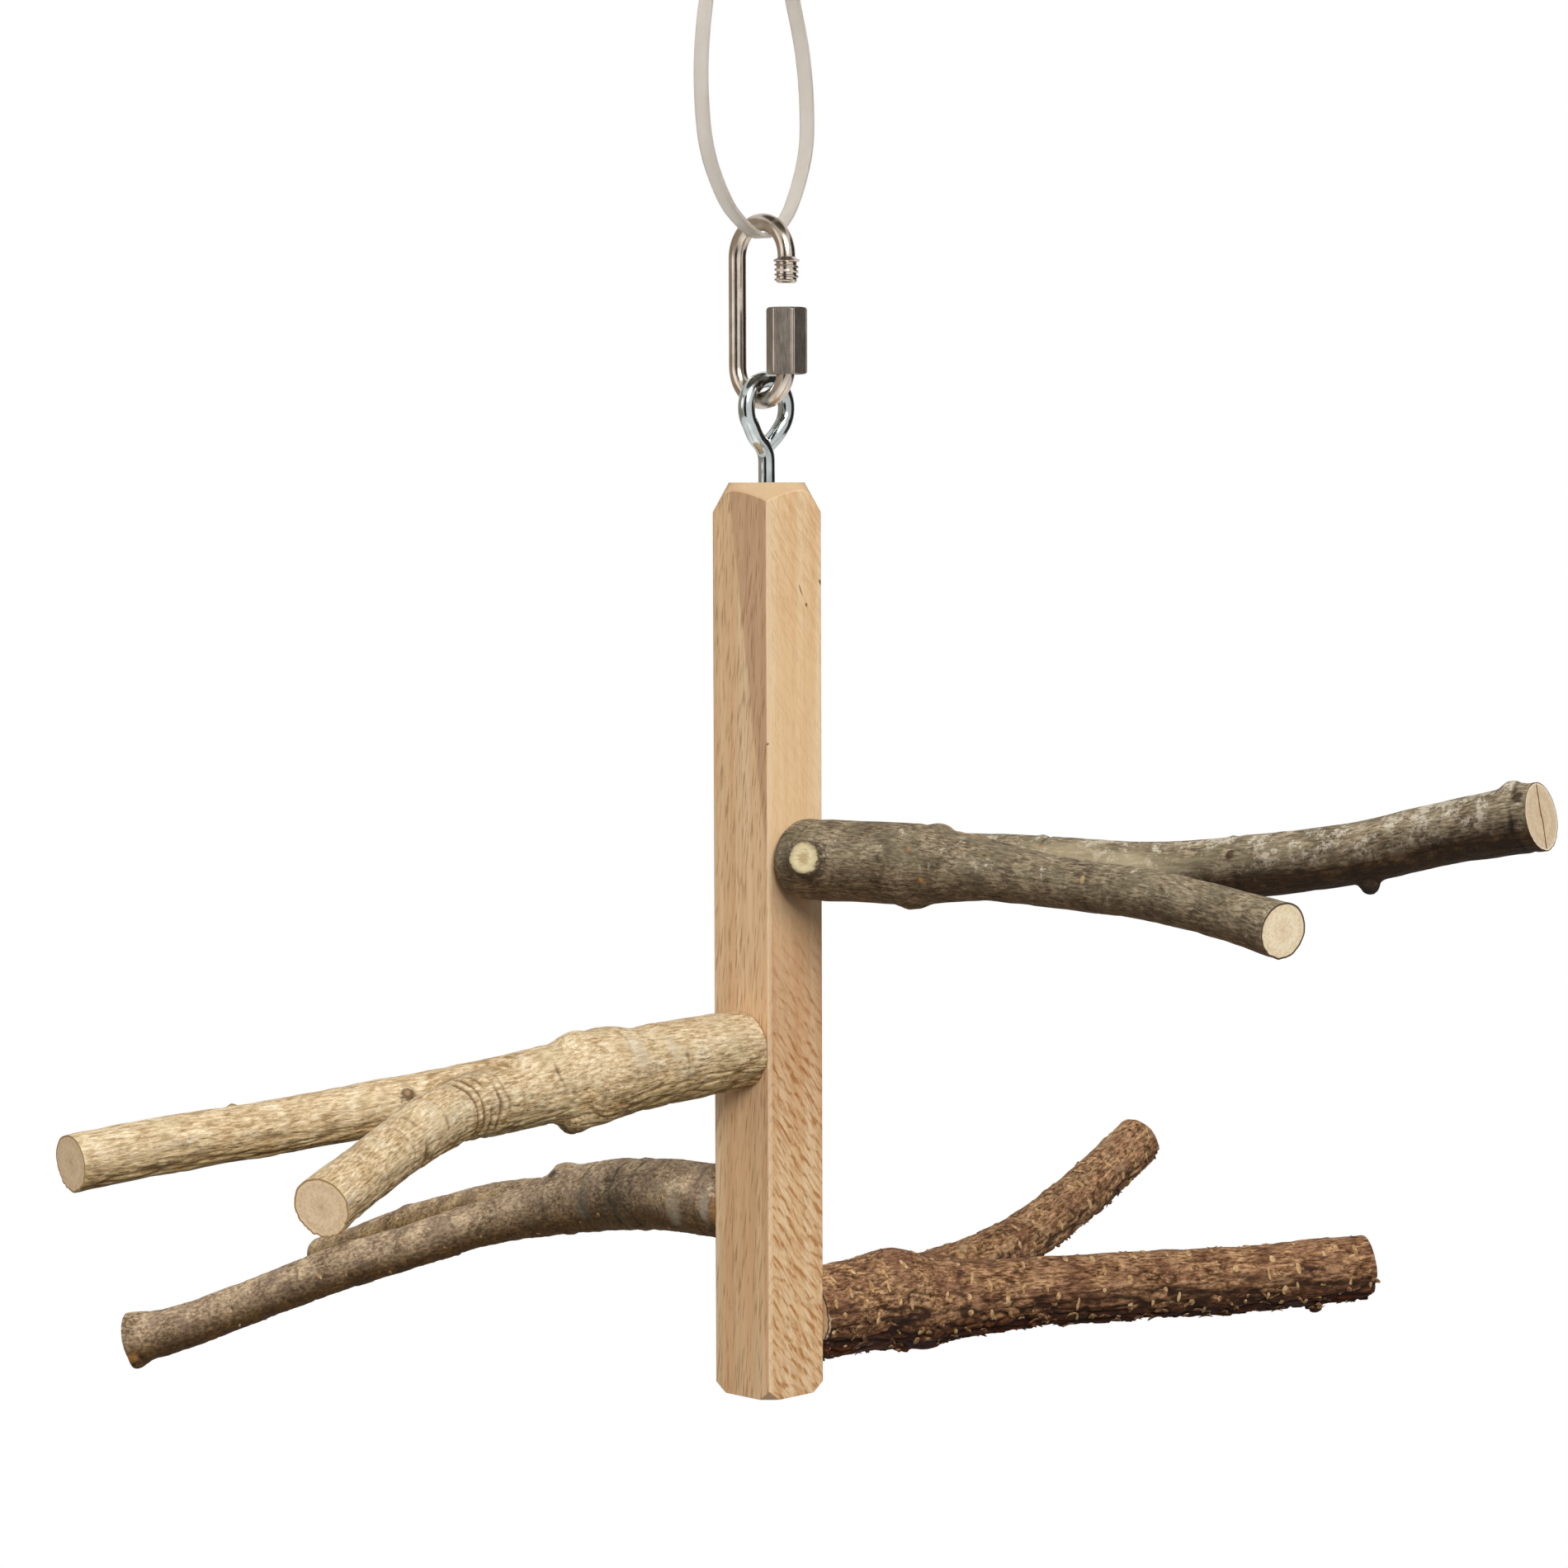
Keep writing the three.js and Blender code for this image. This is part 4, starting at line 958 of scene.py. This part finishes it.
def skinAt(spots, limbs, knots):
    # distance to the smooth skin, way out, straightened place, run, the fork's share and the valley's depth, which
    # paints shade into the crease
    gapMain, wayMain, placeMain, runMain = straighten(spots, limbs[0])
    gapFork, wayFork, placeFork, runFork = straighten(spots, limbs[1])
    gap, way, mix = softJoin(gapMain, gapFork, wayMain, wayFork, forkFillet)
    for *middle, size in knots:
        off = spots - np.array(middle)
        reach = np.linalg.norm(off, axis=1)
        gap, way, _ = softJoin(gap, reach - size / 2, way, unit(off), 0.8 + 0.25 * size)
    share = (1 - mix)[:, None]
    fold = 4 * mix * (1 - mix) * np.clip(1 - rowDot(wayMain, wayFork), 0, 1)
    place = placeMain + (placeFork - placeMain) * share
    run = runMain + (runFork - runMain) * share
    return gap, way, place, unit(run), share[:, 0], fold


def rawBranch(spec, limbs):      # overlapping tubes, melted into one even skin
    bm = bmesh.new()
    angles = np.linspace(0, 2 * math.pi, 32, endpoint=False)
    for limb in limbs:
        rings = []
        for k in [*range(0, len(limb["points"]) - 2, 3), len(limb["points"]) - 1]:
            spokes = np.outer(np.cos(angles), limb["normal"][k]) + np.outer(np.sin(angles), limb["side"][k])
            rings.append([tuple(p) for p in limb["points"][k] + limb["radius"][k] * spokes])
        ringBody(bm, rings)
    for *middle, size in spec["knots"]:
        ball = bmesh.ops.create_icosphere(bm, subdivisions=3, radius=size / 2)
        bmesh.ops.translate(bm, verts=ball["verts"], vec=middle)
    raw = newObject("raw", finishMesh(bm, "raw"))
    melt = raw.modifiers.new("melt", "REMESH")
    melt.mode = "VOXEL"
    melt.voxel_size = barkVoxel
    return plainMesh(raw)


def barkPlates(place, seed):      # loose scales: each point's own number, height over the scale's edge, tilt
    cell = place / barkScale
    base = np.floor(cell).astype(int)
    rng = np.random.default_rng(seed)
    table = rng.permutation(1024)
    jitter = rng.random((1024, 4))
    first = np.full(len(place), 9.0)
    second = np.full(len(place), 9.0)
    number, tilt = np.zeros(len(place)), np.zeros(len(place))
    for step in itertools.product((-1, 0, 1), repeat=3):
        home = base + step
        pick = hashed(table, home)
        off = cell - home - jitter[pick, :3]
        far = np.linalg.norm(off, axis=1)
        nearer = far < first
        second = np.where(nearer, first, np.minimum(second, far))
        number = np.where(nearer, jitter[pick, 3], number)
        tilt = np.where(nearer, off[:, 0] + off[:, 1] * (jitter[pick, 0] - 0.5) * 2, tilt)
        first = np.where(nearer, far, first)
    return number, np.clip((second - first) / 0.22, 0, 1), tilt


def reliefOf(spec, limbs, spots, place, share, rise):      # what the bark adds to the smooth skin, and how deep its hollows lie, for painted shade in them
    seed = spec["seed"]
    large = gradientNoise(place / waves["lump"], seed)
    lumps = spec["lump"] * (large + 0.5 * gradientNoise(place / waves["smallLump"], seed + 1))
    stretch = spec["ridgeStretch"] / 2
    wide, narrow = waves["ridge"], waves["smallRidge"]
    fine = spec["ridge"] * gradientNoise(place / [wide * stretch, wide, wide], seed + 2)
    fine += 0.6 * spec["ridge"] * gradientNoise(place / [narrow * stretch, narrow, narrow], seed + 3)
    waver = gradientNoise(place / waves["waver"], seed + 4)
    broken = 0.7 + 0.9 * gradientNoise(place / waves["gaps"], seed + 5)
    for limb, s, width, height in spec["rings"]:
        off = place[:, 0] - limbs[limb]["shift"] - s + 1.4 * waver
        onLimb = share > 0.5 if limb else share < 0.5
        fine += height * np.exp(-(off / width) ** 2) * np.clip(broken, 0, 1) * onLimb
    depth, apart, long = spec["fissure"]
    cleft = np.abs(gradientNoise(place / [apart * long, apart, apart], seed + 8))
    fine -= depth * np.clip(0.5 - 0.7 * rise, 0.12, 1) * np.clip(1 - cleft / 0.28, 0, 1)
    number = np.full(len(spots), 0.5)
    if spec["plate"]:
        number, edge, tilt = barkPlates(place + 1.1 * waver[:, None], seed + 6)
        loose = np.clip(0.35 - 0.5 * rise + 0.8 * gradientNoise(place / waves["loose"], seed + 7), 0.1, 1)
        fine += spec["plate"] * loose * ((0.45 * number + 0.5 * tilt) * edge - 0.5 * (1 - edge))
    for at, radius, height, *_ in spec["marks"]:
        off = np.linalg.norm((spots - np.array(at)) / np.array(radius), axis=1)
        fine += height * np.exp(-(1.4 * off) ** 2)
    return lumps + fine, np.clip((-fine - 0.9 * spec["ridge"]) / 0.3, 0, 1), number


def sawEnd(bm, cutLayer, middle, along, reach, split):      # plane cut with a capped face of wood
    near = [v for v in bm.verts if (v.co - middle).length < reach]
    held = set(near)
    edges = [e for e in bm.edges if e.verts[0] in held and e.verts[1] in held]
    faces = [f for f in bm.faces if all(v in held for v in f.verts)]
    bmesh.ops.bisect_plane(bm, geom=[*near, *edges, *faces], plane_co=middle, plane_no=along, clear_outer=True)
    rim = {e for e in bm.edges if e.is_boundary}
    loop = [next(e for e in bm.edges if e in rim).verts[0]]
    while rim:
        step = next((e for e in loop[-1].link_edges if e in rim), None)
        if step is None:
            break
        rim.discard(step)
        loop.append(step.other_vert(loop[-1]))
    loop = loop[:-1]
    heart = sum((v.co for v in loop), Vector()) / len(loop)
    aside = along.cross(upward).normalized()
    above = aside.cross(along)
    size = sum((v.co - heart).length for v in loop) / len(loop)

    def mark(ring, level):
        for v in ring:
            v[cutLayer] = ((v.co - heart).dot(aside) * mm, (v.co - heart).dot(above) * mm, level)

    mark(loop, 0)
    outer = loop
    for share in (1 - barkRim / size, 0.62, 0.3, 0):      # the last ring is the pith, a single point
        if share:
            inner = [bm.verts.new(heart + (v.co - heart) * share) for v in loop]
        else:
            inner = [bm.verts.new(heart)] * len(loop)
        mark(inner, 1 + split)
        for k in range(len(loop)):
            after = (k + 1) % len(loop)
            corners = (outer[k], outer[after], inner[after], inner[k])
            bm.faces.new(corners if share else corners[:3]).material_index = 1
        outer = inner


def makeBranch(spec, bark, wood):
    limbs = [limbPath(spec["main"], True), limbPath(spec["fork"], False)]
    start = np.linalg.norm(limbs[0]["points"] - limbs[1]["points"][0], axis=1).argmin()
    limbs[1]["shift"] = limbs[0]["along"][start]
    mesh = rawBranch(spec, limbs)
    spots = np.empty(len(mesh.vertices) * 3)
    mesh.vertices.foreach_get("co", spots)
    spots = spots.reshape(-1, 3)
    for _ in range(3):      # settle the points on the smooth skin
        gap, way = skinAt(spots, limbs, spec["knots"])[:2]
        spots = spots - way * np.clip(gap, -1.5, 1.5)[:, None]
    gap, way, place, run, share, fold = skinAt(spots, limbs, spec["knots"])
    raised, hollowShade, number = reliefOf(spec, limbs, spots, place, share, way[:, 2])
    # painted shade: the bark's hollows and the valley between the limbs are marked to be darkened in the bark's colour
    hollowShade = np.maximum(hollowShade, 0.9 * fold)
    spots = spots + way * raised[:, None]
    for at, out, reach in spec["flats"]:      # twigs that were sawn off flush
        out = np.array(out) / np.linalg.norm(out)
        over = (spots - np.array(at)) @ out
        beside = np.linalg.norm(spots - np.array(at) - over[:, None] * out, axis=1)
        spots = spots - out * (np.clip(over, 0, None) * (beside < reach))[:, None]
    mesh.vertices.foreach_set("co", spots.ravel())

    angle, origin = placeOf(spec)
    turned = np.array([[math.cos(angle), -math.sin(angle), 0], [math.sin(angle), math.cos(angle), 0], [0, 0, 1]])
    for name, values in (("grain", place * mm), ("run", run @ turned.T), ("outward", way @ turned.T),
                         ("hollowShade", hollowShade), ("scale", number), ("fork", share)):
        kind, field = ("FLOAT_VECTOR", "vector") if values.ndim == 2 else ("FLOAT", "value")
        layer = mesh.attributes.new(name, kind, "POINT")
        layer.data.foreach_set(field, values.astype(np.float32).ravel())

    bm = bmesh.new()
    bm.from_mesh(mesh)
    bpy.data.meshes.remove(mesh)
    cutLayer = bm.verts.layers.float_vector.new("cut")
    # each cut reaches only round its own end
    for limb, split in zip(limbs, (0, spec["wood"]["split"])):
        sawEnd(bm, cutLayer, Vector(limb["end"]), Vector(limb["endAlong"]), limb["endRadius"] * 1.35 + sawOver, split)
    sawEnd(bm, cutLayer, Vector((footGap, 0, 0)), Vector((-1, 0, 0)), spec["main"][3][3] * 0.68 + 6, 0)
    bmesh.ops.recalc_face_normals(bm, faces=bm.faces)
    bm.transform(Matrix.Scale(mm, 4) @ Matrix.Translation(origin) @ Matrix.Rotation(angle, 4, "Z"))
    mesh = bpy.data.meshes.new(spec["piece"])
    bm.to_mesh(mesh)
    for material in (bark, wood):
        mesh.materials.append(material)
    wooden = np.empty(len(mesh.polygons), int)
    mesh.polygons.foreach_get("material_index", wooden)
    mesh.polygons.foreach_set("use_smooth", wooden == 0)
    newPiece(spec["piece"], mesh, "perch", spec["slot"], spec["node"])

    # what grows on the bark, away from the sawn ends
    outside = Vector((math.cos(angle), math.sin(angle), 0))
    foot = (post["side"] / 2 + bareFoot) * mm
    bare = [f for f in bm.faces if f.material_index or f.calc_center_median().dot(outside) < foot]
    bmesh.ops.delete(bm, geom=bare, context="FACES")
    for place, crop in enumerate(spec["scatter"]):
        ground = bpy.data.meshes.new("ground")
        bm.to_mesh(ground)
        grown = grow(
            ground, onBark, Count=float(crop["count"]), Apart=crop["apart"] * mm, Long=crop["long"] * mm / 2,
            Wide=crop["wide"] * mm / 2, High=crop["high"] * mm / 2, Curl=crop["curl"],
            Turn=math.radians(crop["turn"]), Spread=math.radians(crop["spread"]),
            Underside=float(crop["underside"]), Seed=spec["seed"] + place, Material=cropLooks[crop["look"]])
        grown.shade_smooth()
        newPiece(crop["piece"], grown, "perch", crop["slot"])
        print(crop["piece"], "done,", len(grown.polygons), "faces")
    bm.free()
    print(spec["piece"], "done,", sum(len(f.vertices) - 2 for f in mesh.polygons), "triangles")


def barkTree():      # small lens or curled scale shapes, spread over the bark and turned to its run
    tree, add, given = newTree(
        "onBark", Count="Float", Apart="Float", Long="Float", Wide="Float", High="Float", Curl="Float", Turn="Float",
        Spread="Float", Underside="Float", Seed="Int", Material="Material")
    run, out = (add("GeometryNodeInputNamedAttribute", Name=name, data_type="FLOAT_VECTOR")
                for name in ("run", "outward"))
    topside = add("MapRange", add("SeparateXYZ", out, out=2), -0.45, 0.45)
    chance = add("Math", 1.0, add("Math", topside, given["Underside"], operation="MULTIPLY"), operation="SUBTRACT")
    spread = add("GeometryNodeDistributePointsOnFaces", Mesh=given["Geometry"], DistanceMin=given["Apart"],
                 DensityMax=given["Count"], DensityFactor=chance, Seed=given["Seed"], distribute_method="POISSON")
    standing = add("FunctionNodeAlignRotationToVector", Vector=out, axis="Z")
    laid = add("FunctionNodeAlignRotationToVector", Rotation=standing, Vector=run, axis="X", pivot_axis="Z")
    lowTurn, highTurn = (add("Math", given["Turn"], given["Spread"], operation=way) for way in ("SUBTRACT", "ADD"))
    angle = add("FunctionNodeRandomValue", Min=lowTurn, Max=highTurn, Seed=given["Seed"], data_type="FLOAT")
    swivel = add("FunctionNodeAxisAngleToRotation", Axis=(0, 0, 1), Angle=angle)
    turned = add("FunctionNodeRotateRotation", Rotation=laid, RotateBy=swivel, rotation_space="LOCAL")
    lens = add("GeometryNodeMeshIcoSphere", Radius=1.0, Subdivisions=2)
    ahead = add("SeparateXYZ", add("GeometryNodeInputPosition"), out=0)
    square = add("Math", ahead, ahead, operation="MULTIPLY")
    slender = add("Math", given["Long"], given["High"], operation="DIVIDE")
    bend = add("Math", given["Curl"], slender, operation="MULTIPLY")
    lift = add("Math", square, bend, operation="MULTIPLY")
    curled = add("GeometryNodeSetPosition", Geometry=lens, Offset=add("CombineXYZ", None, None, lift))
    vary = add("FunctionNodeRandomValue", Min=(0.45, 0.6, 0.6), Max=(1.35, 1.3, 1.3), Seed=given["Seed"],
               data_type="FLOAT_VECTOR")
    size = add("CombineXYZ", given["Long"], given["Wide"], given["High"])
    size = add("VectorMath", size, vary, operation="MULTIPLY")
    placed = add("GeometryNodeInstanceOnPoints", Points=spread, Instance=curled, Rotation=turned, Scale=size)
    return closeTree(tree, add, placed, given["Material"])


onBark = barkTree()


def makeCrop(name, tones, rough):      # dry cork, scale or lichen crust: broken tone, no shine
    material, add = newMaterial(name)
    cloud = add("TexNoise", add("TexCoord", out="Object"), 1 / (cropCloud * mm), 5, 0.7)
    tint = add("ValToRGB", cloud, stops=list(zip((0.36, 0.5, 0.64), tones)))
    look = {"Roughness": rough, "Specular IOR Level": 0.2}
    return closeMaterial(material, add, tint, [], (cloud, 0.5, 0.3), look)


cropLooks = {
    "lichenCrust": makeCrop("lichenCrust", ("#9A7448", "#C79F6C", "#E2CBA0"), 0.9),
    "corkLenticel": makeCrop("corkLenticel", ("#86623F", "#BF996A", "#DFC193"), 0.85),
    "barkFlake": makeCrop("barkFlake", ("#3A2412", "#7D5A3D", "#C6A172"), 0.85),
}


def makeBark(spec):      # dry bark: fine broken flecks, painted shade in the hollows and on the underside, cracks along the limb, lichen and single marks
    look = spec["bark"]
    material, add = newMaterial(spec["piece"] + "Bark")
    grain, outward = (add("Attribute", attribute_name=name, out="Vector") for name in ("grain", "outward"))
    hollowShade, number, limb = (add("Attribute", attribute_name=name, out="Fac") for name in ("hollowShade", "scale", "fork"))
    inMm = add("VectorMath", grain, 1 / mm, operation="SCALE")
    rise = add("SeparateXYZ", outward, out=2)

    broad = add("TexNoise", inMm, 1 / look["broad"], 4, 0.6, out="all")
    drawn = add("Mapping", Vector=inMm, Scale=(1 / look["stretch"], 1, 1))
    fleck = add("TexNoise", drawn, 1 / look["fleck"], 5, 0.7)
    level = add("Mix", 1 - look["mottle"], broad[0], fleck)
    level = add("Math", number, 0.10, level, operation="MULTIPLY_ADD")
    tone = add("ValToRGB", level, stops=list(zip((0.44, 0.55, 0.66), look["tones"])))
    hue = add("MapRange", add("SeparateColor", broad[1], out=1), 0.47, 0.6, None, 0.55)

    # lichen: pale crust in broken islands
    crust = add("TexNoise", inMm, 1 / crustSize, 9, 0.8)
    crust = add("Math", limb, look["forkPale"], crust, operation="MULTIPLY_ADD")
    crust = add("MapRange", crust, look["paleShare"], look["paleShare"] + 0.06, None, 0.8)

    # thin cracks along the limb, more of them on the underside
    long = add("Mapping", Vector=inMm, Scale=(1 / look["crackStretch"], 1, 1))
    waves = add("TexNoise", long, 1 / look["crackSpace"], 4, 0.6)
    off = add("Math", add("Math", waves, 0.5, operation="SUBTRACT"), operation="ABSOLUTE")
    split = add("MapRange", off, 0.004, 0.03, 1, 0)
    where = add("MapRange", rise, -0.35, 0.45, look["crackUnder"], look["crackTop"])
    gaps = add("MapRange", fleck, 0.62, 0.44)
    for share in (where, gaps):
        split = add("Math", split, share, operation="MULTIPLY")
    # painted shade: the bark's hollows and the valley between the limbs take the crack colour too
    split = add("Math", split, add("Math", hollowShade, 0.85, operation="MULTIPLY"), operation="MAXIMUM")

    # painted shade on the underside: darker and browner where the skin faces down, not alike on both limbs
    underShadeTone = add("Mix", limb, *look["under"], data_type="RGBA")
    onMain, onFork = look["underShade"]
    underShade = add("Math", limb, onMain - onFork, rise, operation="MULTIPLY_ADD")
    underShade = add("MapRange", underShade, onMain + 0.2, onMain - 0.75)
    layers = [(hue, look["patch"]), (crust, look["pale"]), (split, look["crack"]), (underShade, underShadeTone, "MULTIPLY")]

    # single marks: buds, scars, bare wood, white patches and some patches of painted shade, each an uneven oval
    spot = add("TexCoord", out="Object")
    uneven = add("Math", add("Mix", 0.5, fleck, waves), 0.5, operation="SUBTRACT")
    angle, origin = placeOf(spec)
    swing = Matrix.Rotation(angle, 3, "Z")
    for at, radius, _, colour, melt in spec["marks"]:
        middle = (swing @ Vector(at) + origin) * mm
        size = Vector([abs(k) for k in swing @ Vector(radius)]) * mm
        away = add("Mapping", Vector=spot, Location=middle, Scale=size, vector_type="TEXTURE")
        away = add("VectorMath", away, operation="LENGTH")
        away = add("Math", uneven, 1 + 4 * melt, away, operation="MULTIPLY_ADD")
        inside = add("MapRange", away, 1.05 + 0.4 * melt, 0.9 - 0.7 * melt, None, 0.95 - 0.3 * melt)
        layers.append((inside, colour))

    layers.append((1.0, add("MapRange", fleck, 0.4, 0.6, 0.88, 1.1), "MULTIPLY"))
    relief = (add("Math", split, -0.5, fleck, operation="MULTIPLY_ADD"), look["bump"], 0.45)
    return closeMaterial(material, add, tone, layers, relief, {"Roughness": 0.85, "Specular IOR Level": 0.2})


def makeSawnWood(spec):      # sawn end grain: faint growth rings round the pith, saw fuzz, a thin rim of bark
    look = spec["wood"]
    material, add = newMaterial(spec["piece"] + "SawnEnd")
    x, y, level = add("SeparateXYZ", add("Attribute", attribute_name="cut", out="Vector"), out="all")
    inMm = add("VectorMath", add("CombineXYZ", x, y), 1 / mm, operation="SCALE")
    wobble = add("TexNoise", inMm, 1 / endGrain["wobble"], 2)
    bent = add("Math", wobble, 2.0, add("VectorMath", inMm, operation="LENGTH"), operation="MULTIPLY_ADD")
    ring = add("Math", bent, endGrain["halfRing"], operation="PINGPONG")
    fibre = add("TexNoise", inMm, 1 / endGrain["fibre"], 6, 0.75)
    shade = add("Math", ring, 0.07, fibre, operation="MULTIPLY_ADD")
    tone = add("ValToRGB", shade, stops=list(zip((0.42, 0.68), look["tones"])))
    core = add("MapRange", bent, *endGrain["pith"], None, 0.5)
    # an older cut: browner, with a drying crack from top to bottom, on ends marked for it
    side = add("Math", wobble, 1.6 * mm, x, operation="MULTIPLY_ADD")
    side = add("Math", add("Math", side, 0.8 * mm, operation="SUBTRACT"), operation="ABSOLUTE")
    line = add("MapRange", side, *(k * mm for k in endGrain["crack"]))
    marked = add("MapRange", level, 1.2, 1.6)
    line = add("Math", line, marked, operation="MULTIPLY")
    rim = add("MapRange", level, 0.4, 0.75, 1, 0)
    layers = [(core, look["pith"]), (marked, "#E2DBD8", "MULTIPLY"), (line, "#5A3A22"), (rim, look["rim"])]
    return closeMaterial(material, add, tone, layers, (fibre, 0.4, 0.25),
                         {"Roughness": 0.78, "Specular IOR Level": 0.25})


for spec in branches:
    makeBranch(spec, makeBark(spec), makeSawnWood(spec))
